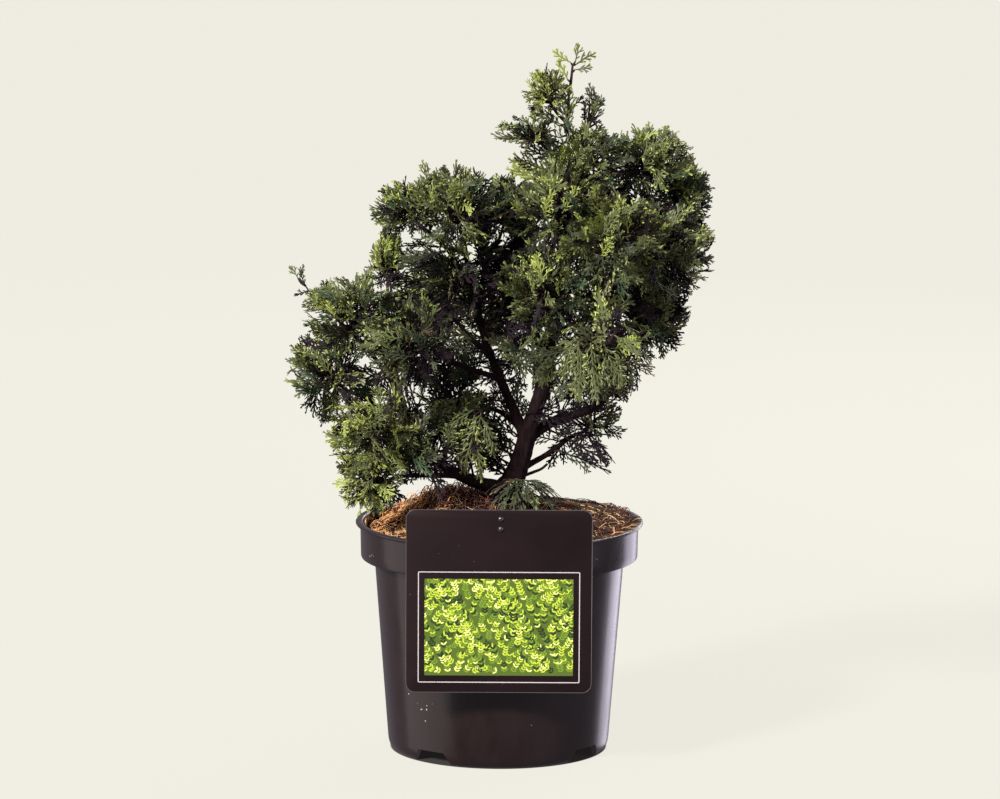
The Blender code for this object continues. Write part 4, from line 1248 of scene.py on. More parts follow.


# Name, limb, middle and reach in tenths of a millimetre, then along, lift and fullness in hundredths, and the palette,
# painted light or painted shade for some masses
MASS_TABLE = """
leader trunk  460 -50 4530  160 150 180  100 80 0 FRESH
sprays_tip_left trunk  280 -100 4380  170 160 170  93 20 80 LIGHT
sprays_upper_fan trunk  190 -140 4120  270 240 120  84 0 70 COOL
sprays_tip_right trunk  605 40 4210  90 120 190  86 60 40 SHADE
sprays_top_centre trunk  560 -180 3940  290 320 260  79 20 100 GREEN
sprays_right_shoulder bough_right_shoulder  980 50 3880  310 370 280  100 20 100 GREEN
sprays_right_edge bough_right_edge  1180 260 3640  240 370 300  100 20 100 COOL
sprays_right_mid bough_right_mid  1080 -150 3340  370 390 330  100 20 100 GREEN
sprays_centre_upper bough_centre_upper  380 -460 3640  350 370 330  100 20 100 GREEN
sprays_centre_right bough_centre_right  740 -610 3470  350 370 350  100 20 100 PALE
sprays_right_low bough_right  990 140 2860  290 380 310  100 20 100 SHADE
sprays_right_hanging bough_right_hanging  670 -660 2760  360 380 370  100 -60 100 PALE
sprays_centre_mid trunk  280 -420 3130  320 370 310  45 -10 100 GREEN
sprays_upper_left_far bough_upper_far  -610 -140 3610  270 330 210  100 20 100 COOL
sprays_upper_left stem_left  -290 -300 3630  320 370 310  100 20 100 GREEN
sprays_upper_mid bough_upper_mid  30 60 3550  280 340 290  100 20 100 SHADE
sprays_left_spire bough_left_spire  -740 -100 3210  150 180 240  100 80 80 FRESH
sprays_far_left_tip bough_far_tip  -1180 0 2990  130 120 100  100 30 50 COOL
sprays_left_upper bough_left  -980 -280 2930  330 380 290  100 20 100 COOL
sprays_left_mid bough_left_out  -1120 -150 2520  310 380 310  100 -10 100 COOL
sprays_left_inner bough_left_inner  -580 -500 2790  330 370 330  100 -10 100 SHADE
sprays_left_low bough_left_low  -830 -450 2200  330 370 310  100 -50 100 LIGHT
sprays_left_foot bough_left_foot  -830 -400 1860  260 290 270  100 -60 100 LIGHT
sprays_centre_left bough_centre_left  -310 400 2270  310 370 370  100 20 65 SHADE
sprays_centre_back bough_centre_back  60 580 2680  370 370 330  100 20 60 SHADE
sprays_low_right bough_right_low  610 360 2110  270 290 200  100 30 50 SHADE
sprays_foot trunk  210 -260 1760  220 200 100  3 -50 0 PALE
sprays_back_upper bough_back_upper  570 740 3450  370 380 380  100 20 100 GREEN
sprays_back_left bough_back_left  -460 640 2880  340 390 270  100 20 100 GREEN
sprays_back_right bough_back_right  970 690 3050  370 390 380  100 20 100 GREEN
"""
MASSES = {row[0]: Mass.from_row(row) for row in read_rows(MASS_TABLE)}


@dataclass(frozen=True)
class BoughFronds:
    """A row of fronds on short twigs along part of one bough, counted with the mass beside it."""

    mass: str
    limb: str
    first: float
    last: float
    count: int
    towards: Point
    spread: float
    twig: float
    palette: Palette

    @classmethod
    def from_row(cls, row: list[str]) -> BoughFronds:
        """The fronds of one row of the table.

        Args:
            row: The words of the row.

        Returns:
            The row of fronds.
        """
        first, last = numbers(row[2:4], 100)
        towards, spread = numbers(row[5:8], 100), int(row[8]) / 100
        return cls(*row[:2], first, last, int(row[4]), towards, spread, int(row[9]) / 1000, Palette[row[10]])


# Mass, limb, first and last share of the limb in hundredths, count, direction and its spread in hundredths,
# length of the twigs in millimetres, and the palette, mostly SHADE: painted shade for the dark fronds that fill gaps
# in the crown
BOUGH_TABLE = """
sprays_centre_left bough_centre_left 30 95 4  -15 -35 -100  45 10 SHADE
sprays_centre_left bough_left 12 60 14  10 25 100  45 12 SHADE
sprays_centre_left stem_left 10 50 11  -40 50 10  65 12 SHADE
sprays_centre_left trunk 5 19 8  -100 50 10  40 6 SHADE
sprays_centre_back trunk 30 46 6  50 40 20  60 14 SHADE
sprays_centre_back bough_centre_back 30 90 4  10 20 -40  60 10 SHADE
sprays_right_low bough_right 15 80 14  -10 30 55  60 12 SHADE
sprays_low_right bough_right_low 55 95 3  10 20 50  60 8 SHADE
sprays_left_foot bough_left_foot 25 90 9  10 20 80  45 10 SHADE
sprays_left_low bough_left_low 25 95 8  10 10 30  60 10 GREEN
sprays_left_inner bough_left 60 95 8  20 20 20  60 10 SHADE
sprays_upper_mid stem_left 50 92 16  50 30 15  65 14 SHADE
sprays_upper_left stem_left 62 97 16  -40 -80 -10  45 14 SHADE
sprays_upper_left bough_upper_far 5 60 6  40 -30 -70  30 10 GREEN
sprays_left_spire bough_left_spire 30 95 7  -10 -50 70  45 7 FRESH
sprays_right_shoulder bough_right_shoulder 10 95 10  0 -40 -60  50 14 SHADE
sprays_right_edge bough_right_edge 10 90 8  0 -60 20  50 14 SHADE
sprays_upper_mid bough_upper_mid 15 85 10  10 20 0  70 12 SHADE
sprays_centre_mid trunk 46 72 14  -60 30 10  60 16 SHADE
sprays_centre_right bough_right_mid 10 85 12  0 -20 -50  60 14 SHADE
sprays_right_hanging bough_right_hanging 10 80 9  40 10 30  60 14 SHADE
sprays_top_centre trunk 74 82 5  -100 -10 20  35 10 GREEN
"""


@dataclass(frozen=True)
class FrondSizes:
    """The length of a flat frond, the length of its side shoots and the step between them."""

    length: float
    side_length: float
    shoot_step: float


class FrondKind(Enum):
    """The kinds of flat frond, from large to small."""

    LARGE = FrondSizes(0.033, 0.0138, 0.00215)
    MEDIUM = FrondSizes(0.024, 0.0105, 0.00205)
    SMALL = FrondSizes(0.0160, 0.0072, 0.00195)


@dataclass(frozen=True)
class ChosenFrond:
    """One frond with a place of its own: its twig's start, its foot, direction, kind, size and hue."""

    mass: str
    start: Point
    foot: Point
    towards: Point
    kind: FrondKind
    size: float
    hue: Hue

    @classmethod
    def from_row(cls, mass: str, row: list[str]) -> ChosenFrond:
        """The frond of one row of a mass's table."""
        start, foot, towards = numbers(row[:3]), numbers(row[3:6]), numbers(row[6:9], 100)
        return cls(mass, start, foot, towards, FrondKind[row[9]], int(row[10]) / 100, Hue[row[11]])


# By mass: the start of the twig and the frond's foot in tenths of a millimetre, the direction in hundredths,
# the kind, the size in hundredths, and the hue, of which DARK is painted shade
CHOSEN_TABLES = {
    "leader": """
        462 -50 4545  480 -50 4570  10 0 100  SMALL 80 BRIGHT
        462 -50 4545  484 -50 4550  85 0 50  SMALL 98 BRIGHT
        462 -50 4545  452 -50 4560  -80 0 55  SMALL 95 LIME
        460 -50 4500  475 -50 4515  95 0 15  SMALL 78 OLIVE
        452 -45 4430  430 -50 4450  -50 0 85  SMALL 95 LIME
        448 -40 4400  420 -70 4390  -85 0 40  MEDIUM 85 BRIGHT
        442 -30 4360  415 -70 4340  -95 0 10  MEDIUM 85 LIME
        435 -20 4260  460 -30 4270  60 0 60  SMALL 70 DARK
        432 -15 4200  400 -80 4230  -70 0 60  MEDIUM 85 BRIGHT
        432 -10 4150  390 -90 4160  -85 0 35  MEDIUM 85 MID
        432 -15 4190  435 -100 4170  -25 -20 90  MEDIUM 80 BRIGHT
        445 -35 4330  430 -90 4300  -55 -10 75  MEDIUM 85 BRIGHT
        440 -20 4240  442 -90 4230  -8 0 100  MEDIUM 80 BRIGHT
        435 -15 4120  425 -100 4110  20 0 100  MEDIUM 80 MID
    """,
    "sprays_upper_fan": """
        430 -10 4050  350 -60 4000  -60 0 50  MEDIUM 95 MID
        430 -10 4000  360 -60 3920  -80 0 35  MEDIUM 95 DEEP
        430 -10 4080  380 -60 4070  -90 0 25  MEDIUM 90 MID
        430 -10 4120  370 -60 4150  -70 0 60  MEDIUM 80 DEEP
    """,
    "sprays_tip_right": """
        450 -10 4050  600 40 4200  -5 0 100  MEDIUM 84 DEEP
        600 40 4200  615 40 4215  45 0 85  SMALL 80 DEEP
    """,
    "sprays_far_left_tip": """
        -1090 -30 2880  -1280 -20 3080  -35 0 95  SMALL 70 DEEP
        -1280 -20 3080  -1330 -20 3130  -55 0 80  SMALL 66 MID
        -1280 -20 3080  -1320 -20 3125  25 0 95  SMALL 66 DEEP
        -1240 -20 3040  -1260 -20 3045  -80 0 -20  SMALL 66 DARK
        -1200 -20 2990  -1220 -20 2990  -75 0 -45  SMALL 66 DEEP
    """,
    "sprays_upper_left_far": """
        -470 -90 3450  -470 -120 3720  -15 0 100  MEDIUM 80 MID
        -470 -90 3450  -410 -120 3700  25 0 100  MEDIUM 76 DEEP
    """,
    "sprays_centre_left": """
        5 10 2400  -120 -280 2300  -15 -10 -100  LARGE 100 OLIVE
        -120 -280 2300  -165 -280 2270  -35 0 -100  LARGE 95 BRIGHT
        -120 -280 2300  -170 -260 2300  -85 -10 -60  MEDIUM 90 MID
        -120 -280 2300  -100 -280 2220  30 0 -100  MEDIUM 95 OLIVE
        -165 -280 2150  -180 -310 2110  -25 -10 -100  MEDIUM 100 OLIVE
        -140 -280 2110  -145 -320 2060  5 -10 -100  MEDIUM 90 BRIGHT
        140 60 1980  90 120 1960  -75 10 45  MEDIUM 90 DARK
        130 60 1900  80 120 1860  -85 10 20  MEDIUM 90 DARK
        170 60 2060  100 120 2060  -70 10 60  MEDIUM 90 DARK
        100 40 1840  60 80 1800  -80 10 30  SMALL 100 DARK
        120 40 1870  70 100 1920  -40 10 90  MEDIUM 90 DEEP
    """,
    "sprays_upper_mid": """
        -210 -60 3200  -150 -40 3220  25 0 100  MEDIUM 100 DARK
        -210 -60 3180  -110 -20 3200  -10 0 100  MEDIUM 100 DEEP
        -220 -70 3230  -180 -60 3260  80 0 50  MEDIUM 90 DARK
    """,
    "sprays_right_shoulder": """
        740 40 3700  800 80 3640  25 0 100  MEDIUM 100 DARK
        780 40 3720  890 90 3660  -30 0 100  MEDIUM 100 DARK
        760 40 3710  820 100 3790  20 0 -100  MEDIUM 100 DEEP
    """,
    "sprays_right_mid": """
        490 -10 3010  530 -10 2960  10 0 100  MEDIUM 100 DARK
        560 -20 3030  600 0 2980  -25 0 100  MEDIUM 100 DARK
        520 -20 3020  550 30 3100  30 0 -100  MEDIUM 90 DEEP
    """,
    "sprays_right_hanging": """
        600 -490 2810  500 -920 2860  5 -15 -100  LARGE 100 OLIVE
        600 -490 2810  580 -940 2850  20 -10 -100  LARGE 100 BRIGHT
        600 -490 2810  660 -920 2850  42 -10 -90  LARGE 95 OLIVE
        600 -490 2810  460 -900 2840  -30 -10 -90  MEDIUM 95 BRIGHT
        600 -490 2810  590 -970 2700  12 -10 -100  MEDIUM 95 OLIVE
        600 -490 2810  520 -950 2680  -8 -10 -100  MEDIUM 90 OLIVE
    """,
}
BOUGH_FRONDS = tuple(BoughFronds.from_row(row) for row in read_rows(BOUGH_TABLE))
CHOSEN_FRONDS = tuple(
    ChosenFrond.from_row(mass, row) for mass, table in CHOSEN_TABLES.items() for row in read_rows(table)
)


def smooth_line(points: Sequence[Point | Vector], count: int, fineness: int = 12) -> list[Vector]:
    """Evenly spaced points on a smooth curve through the given ones.

    Args:
        points: The points that the curve runs through.
        count: How many points to give.
        fineness: How many steps each stretch of the curve is measured in.

    Returns:
        The evenly spaced points.
    """
    given = [Vector(p) for p in points]
    ends = [given[0] * 2 - given[1], *given, given[-1] * 2 - given[-2]]
    fine = []
    for before, start, end, after in zip(ends, ends[1:], ends[2:], ends[3:]):
        for step in range(fineness):
            t = step / fineness
            cubic = 3 * start - before - 3 * end + after
            square = 2 * before - 5 * start + 4 * end - after
            fine.append(0.5 * (2 * start + (end - before) * t + square * t * t + cubic * t**3))
    fine.append(given[-1])
    lengths = [0.0]
    for start, end in zip(fine, fine[1:]):
        lengths.append(lengths[-1] + (end - start).length)
    line = []
    at = 0
    for step in range(count):
        wanted = lengths[-1] * step / (count - 1)
        while at < len(fine) - 2 and lengths[at + 1] < wanted:
            at += 1
        share = (wanted - lengths[at]) / (lengths[at + 1] - lengths[at])
        line.append(fine[at].lerp(fine[at + 1], min(1.0, share)))
    return line


def point_along(line: Sequence[Vector], share: float) -> Vector:
    """The place at a share of the way along evenly spaced points.

    Args:
        line: The points.
        share: The share, from 0 to 1.

    Returns:
        The place.
    """
    at = share * (len(line) - 1)
    index = min(int(at), len(line) - 2)
    return line[index].lerp(line[index + 1], at - index)


@dataclass
class Limbs:
    """The trunk and its boughs, with bark relief."""

    radius: float = 0.0076
    tip_radius: float = 0.0008
    taper_power: float = 1.7
    flare: float = 0.0048
    flare_reach: float = 0.035
    rings: int = 18
    limb_rings: int = 6
    limb_taper_power: float = 0.8
    collar_swell: float = 0.5
    collar_reach: float = 0.005
    spacing: float = 0.0011
    least_rings: int = 8
    sides: int = 26
    relief: float = 0.13
    shred_scale: float = 42
    flake_scale: float = 260
    buttress: float = 0.20
    buttress_reach: float = 0.012
    noise_step: float = 3.1
    shapes: dict[str, tuple[list[Vector], list[float]]] = field(default_factory=dict)

    def trunk_radius(self, share: float) -> float:
        """The trunk's radius at a share of its length."""
        taper = self.tip_radius + (self.radius - self.tip_radius) * (1 - share) ** self.taper_power
        return taper + self.flare * math.exp(-share / self.flare_reach)

    def plan(self) -> None:
        """Works out the centre line and radii of the trunk and of every bough."""
        line = smooth_line(TRUNK_LINE, self.rings)
        self.shapes["trunk"] = (line, [self.trunk_radius(step / (self.rings - 1)) for step in range(self.rings)])
        for limb in LIMBS:
            start = point_along(self.shapes[limb.parent][0], limb.along)
            line = smooth_line((start, *limb.through), self.limb_rings)
            shares = [step / (self.limb_rings - 1) for step in range(self.limb_rings)]
            narrowing, power = limb.tip_radius - limb.radius, self.limb_taper_power
            self.shapes[limb.name] = (line, [limb.radius + narrowing * share**power for share in shares])

    def build(self) -> None:
        """Makes the bark of the trunk and of the boughs."""
        trunk, boughs = Surface(), Surface()
        self.add_bark(trunk, "trunk", Vector((0, 0, 0)))
        mesh_piece("trunk_bark", trunk, BARK, True, ["trunk"])
        for index, limb in enumerate(LIMBS):
            self.add_bark(boughs, limb.name, Vector((index * self.noise_step, 0, 0)))
        mesh_piece("bough_bark", boughs, BARK, True, [limb.name for limb in LIMBS])

    def add_bark(self, surface: Surface, name: str, seed: Vector) -> None:
        """Adds one limb as a ridged tube, flared where it leaves its parent.

        Args:
            surface: The piece that the limb joins.
            name: The limb.
            seed: Where in the noise its ridges are read.
        """
        coarse, radii = self.shapes[name]
        length = sum((b - a).length for a, b in zip(coarse, coarse[1:]))
        count = max(self.least_rings, int(length / self.spacing))
        line = smooth_line(coarse, count)
        across = Vector((0, 1, 0))
        rings = []
        sides = self.sides if name == "trunk" else self.sides // 2
        for step, centre in enumerate(line):
            share = step / (count - 1)
            at = share * (len(radii) - 1)
            index = min(int(at), len(radii) - 2)
            radius = radii[index] + (radii[index + 1] - radii[index]) * (at - index)
            if name != "trunk":
                radius *= 1 + self.collar_swell * math.exp(-share * length / self.collar_reach)
            along = (line[min(count - 1, step + 1)] - line[max(0, step - 1)]).normalized()
            across = (across - along * across.dot(along)).normalized()
            side = along.cross(across)
            for corner in range(sides):
                angle = FULL_TURN * corner / sides
                around = Vector((math.cos(angle), math.sin(angle), 0))
                shreds = noise.noise(around * 3.2 + seed + UP * (share * length * self.shred_scale))
                flakes = noise.noise(around * 1.3 + seed + UP * (share * length * self.flake_scale))
                swell = 1 + self.relief * (shreds * 1.5 + flakes * 0.5)
                if name == "trunk":
                    fade = math.exp(-share * length / self.buttress_reach)
                    swell += self.buttress * math.cos(3 * angle + 0.7) * fade
                out = across * math.cos(angle) + side * math.sin(angle)
                rings.append(tuple(centre + out * (radius * swell)))
        surface.add(np.array(rings), drum_faces(count, sides))


# The sprays


@dataclass(frozen=True)
class Branchlet:
    """The middle line of one branchlet, near the plane of its frond."""

    base: np.ndarray
    angle: float
    length: float
    curl: float
    rise: float

    def spot(self, share: float) -> np.ndarray:
        """The place at a share of the way along."""
        turned = self.angle + self.curl * share * 0.5
        return self.base + np.array((math.cos(turned), math.sin(turned), self.rise)) * (self.length * share)

    def strip(self, width: float, stations: Sequence[tuple[float, float]]) -> Mesh:
        """The branchlet's body, with a ridged face and a blunt tip.

        Args:
            width: How broad it is.
            stations: Where along it its outline has corners, and its breadth there.

        Returns:
            Its points and its triangles.
        """
        points = []
        for share, breadth in stations:
            centre = self.spot(share)
            local = self.angle + self.curl * share
            aside = np.array((-math.sin(local), math.cos(local), 0)) * (width * breadth / 2)
            lift = np.array((0, 0, width * breadth * 0.45))
            points += [centre + aside, centre + lift, centre - aside]
        points.append(self.spot(1.0))
        rows = len(stations)
        last = (rows - 1) * 3
        end = [(last, last + 1, last + 3), (last + 1, last + 2, last + 3), (last + 2, last, last + 3)]
        return np.array(points), np.concatenate([grid_faces(rows, 3), np.array(end)])


@dataclass
class Frond:
    """A flat frond along +X in its own plane: a bowed axis with alternate forked side shoots."""

    kind: FrondKind
    dice: random.Random
    axis_width: float = 0.00130
    shoot_width: float = 0.00112
    fork_width: float = 0.00098
    first_shoot: float = 0.0025
    first_fork: float = 0.0024
    fork_step: float = 0.0022
    bare_length: float = 0.0035
    longest_fork: float = 0.0034
    long_stations: Outline = ((0.0, 0.8), (0.5, 1.0), (0.88, 0.9))
    short_stations: Outline = ((0.0, 0.75), (0.78, 1.05))
    body: Surface = field(default_factory=Surface)
    tips: Surface = field(default_factory=Surface)

    def __post_init__(self) -> None:
        """Draws the axis and its shoots."""
        sizes, length = self.kind.value, self.kind.value.length
        bow = self.dice.uniform(-0.5, 0.5)
        axis = Branchlet(np.zeros(3), -bow / 2, length, bow, 0.0)
        self.body.add(*axis.strip(self.axis_width, self.long_stations))
        ends = [axis.spot(1.0)]
        count = int((length - self.first_shoot - 0.001) / sizes.shoot_step)
        for shoot in range(count):
            share = (self.first_shoot + shoot * sizes.shoot_step + self.dice.uniform(-0.0004, 0.0004)) / length
            side = 1 if shoot % 2 else -1
            broad = min(1.0, 0.45 + share * 2.2) * (1.0 - max(0.0, share - 0.28) ** 1.2 * 1.02)
            reach = sizes.side_length * max(0.20, broad) * self.dice.uniform(0.72, 1.18)
            angle = -bow / 2 + bow * share + side * (0.86 - 0.40 * share + self.dice.uniform(-0.12, 0.12))
            curl = -side * self.dice.uniform(0.20, 0.60)
            branchlet = Branchlet(axis.spot(share), angle, reach, curl, self.dice.uniform(-0.28, 0.28))
            self.add_shoot(branchlet)
            ends.append(branchlet.spot(1.0))
        self.outline = np.array(ends)
        self.body_mesh, self.tip_mesh = self.body.gathered(), self.tips.gathered()

    def add_shoot(self, branchlet: Branchlet) -> None:
        """Adds a side shoot and the forks along it.

        Args:
            branchlet: The shoot's middle line.
        """
        if branchlet.length < self.bare_length:
            self.tips.add(*branchlet.strip(self.fork_width, self.short_stations))
            return
        self.body.add(*branchlet.strip(self.shoot_width, self.long_stations))
        forks = int((branchlet.length - self.first_fork) / self.fork_step)
        for fork in range(forks):
            share = (self.first_fork + fork * self.fork_step) / branchlet.length
            lean = (1 if fork % 2 else -1) * self.dice.uniform(0.42, 0.72)
            turned = branchlet.angle + branchlet.curl * share + lean
            length = min(self.longest_fork, (1.05 - share) * branchlet.length * 0.45 + 0.0013)
            length *= self.dice.uniform(0.75, 1.25)
            twiglet = Branchlet(branchlet.spot(share), turned, length, 0.0, self.dice.uniform(-0.35, 0.35))
            target = self.tips if share > 0.42 else self.body
            target.add(*twiglet.strip(self.fork_width, self.short_stations))


@dataclass
class Spray:
    """One frond in its place on the plant."""

    frond: Frond
    foot: np.ndarray
    along: np.ndarray
    facing: np.ndarray
    size: float
    droop: float
    cup: float

    def placed(self, points: np.ndarray) -> np.ndarray:
        """Points of the frond's own plane, bent and moved to their place.

        Args:
            points: The points, one a row.

        Returns:
            The points in their place.
        """
        local = points * self.size
        u, v, w = local[..., 0], local[..., 1], local[..., 2]
        w = w - self.droop * u * u - self.cup * v * v
        across = np.cross(self.facing, self.along)
        return self.foot + u[..., None] * self.along + v[..., None] * across + w[..., None] * self.facing


class Space:
    """Where sprays may grow: above the soil, inside the plant's box and clear of the limbs."""

    clearance = 0.0012
    lowest = 0.1640
    margin = 0.001
    room_steps = 25

    def __init__(self, limbs: Limbs, box: Box) -> None:
        """Keeps the box and the limbs' middle lines.

        Args:
            limbs: The trunk and boughs that sprays stay clear of.
            box: The lowest and highest corner of the whole plant.
        """
        self.low, self.high = np.array(box[0]) - self.margin, np.array(box[1]) + self.margin
        starts, ends, radii = [], [], []
        for line, widths in limbs.shapes.values():
            for start, end, low, high in zip(line, line[1:], widths, widths[1:]):
                starts.append(start)
                ends.append(end)
                radii.append(max(low, high))
        self.starts, self.ends, self.radii = np.array(starts), np.array(ends), np.array(radii)

    def holds(self, points: np.ndarray) -> np.ndarray:
        """Which of some points are inside the space."""
        return ((points > self.low) & (points < self.high)).all(-1) & (points[..., 2] > self.lowest)

    def clear(self, points: np.ndarray) -> np.ndarray:
        """Which of some points stay clear of the trunk and of every bough.

        Args:
            points: The points, one a row.

        Returns:
            Whether each point is clear.
        """
        along = self.ends - self.starts
        away = points[:, None, :] - self.starts
        share = np.clip((away * along).sum(-1) / (along * along).sum(-1), 0, 1)
        off = np.linalg.norm(away - share[..., None] * along, axis=-1)
        return (off > self.radii + self.clearance).all(-1)

    def room(self, point: np.ndarray, direction: np.ndarray, longest: float) -> float:
        """How far a straight line runs from a point before it leaves the space.

        Args:
            point: Where the line starts.
            direction: Which way it runs.
            longest: The most that is asked for.

        Returns:
            The length.
        """
        steps = np.linspace(0, longest, self.room_steps)[1:]
        held = self.holds(point + np.outer(steps, direction))
        return float(longest if held.all() else steps[max(0, int(np.argmin(held)) - 1)])


class MassSpace(Space):
    """Where one mass may grow: an ellipsoid, cut by a plane a little way into each neighbour."""

    interleave = 0.0080
    seam = 1.12
    core = 0.95
    lowest = 0.0

    def __init__(self, mass: Mass, limbs: Limbs, box: Box) -> None:
        """Works out the mass's bounds.

        Args:
            mass: The mass.
            limbs: The trunk and boughs that it stays clear of.
            box: The lowest and highest corner of the whole plant.
        """
        super().__init__(limbs, box)
        self.middle = np.array(mass.middle)
        self.reach = np.array(mass.reach)
        size = self.reach.mean()
        others = [other for other in MASSES.values() if other is not mass]
        self.other_middles = np.array([other.middle for other in others])
        self.other_reaches = np.array([other.reach for other in others])
        towards = self.other_middles - self.middle
        distances = np.linalg.norm(towards, axis=1)
        self.normals = towards / distances[:, None]
        sizes = self.other_reaches.mean(1)
        self.cuts = (distances**2 + size**2 - sizes**2) / (2 * distances) + self.interleave

    def holds(self, points: np.ndarray) -> np.ndarray:
        """Which of some points are inside the space, or in the seam between it and a neighbour.

        Args:
            points: The points, one a row.

        Returns:
            Whether each point is inside.
        """
        away = points - self.middle
        own = ((away / self.reach) ** 2).sum(-1)
        off = (points[:, None, :] - self.other_middles) / self.other_reaches
        beside = ((off**2).sum(-1) <= self.seam**2).any(-1)
        inside = (own <= self.core) | ((own <= self.seam**2) & beside)
        return inside & super().holds(points) & (away @ self.normals.T < self.cuts).all(-1)


def upright_facing(along: Vector, spin: float) -> Vector:
    """A direction across the growth of a spray, turned by spin from the one that looks most upward.

    Args:
        along: The direction of growth.
        spin: The turn, in radians.

    Returns:
        The direction.
    """
    facing = UP - along * UP.dot(along)
    if facing.length < 1e-5:
        facing = Vector((1, 0, 0)) - along * along.x
    facing.normalize()
    return facing * math.cos(spin) + along.cross(facing) * math.sin(spin)


def spiral_directions(axis: Vector, count: int, spin: float, widest: float = 1.9) -> list[Vector]:
    """Evenly spread directions round an axis, by the golden angle, the last of them along the axis.

    Args:
        axis: The direction that they spread from.
        count: How many there are.
        spin: The turn of the first one.
        widest: How far back they reach, from 0 for the axis alone to 2 for all round.

    Returns:
        The directions.
    """
    found = []
    for step in range(count):
        lean = math.acos(max(-1.0, 1 - widest * (1 - (step + 0.5) / count)))
        around = upright_facing(axis, spin + GOLDEN_ANGLE * step)
        found.append(axis * math.cos(lean) + around * math.sin(lean))
    return found


def flattened(direction: Vector, normal: Vector) -> Vector:
    """The part of a direction that lies across another one, at full length."""
    return (direction - normal * direction.dot(normal)).normalized()


@dataclass
class Growth:
    """What a mass grows from: its space, its seeded source and its stem."""

    mass: Mass
    space: Space
    dice: random.Random
    stem: list[Vector] = field(default_factory=list)


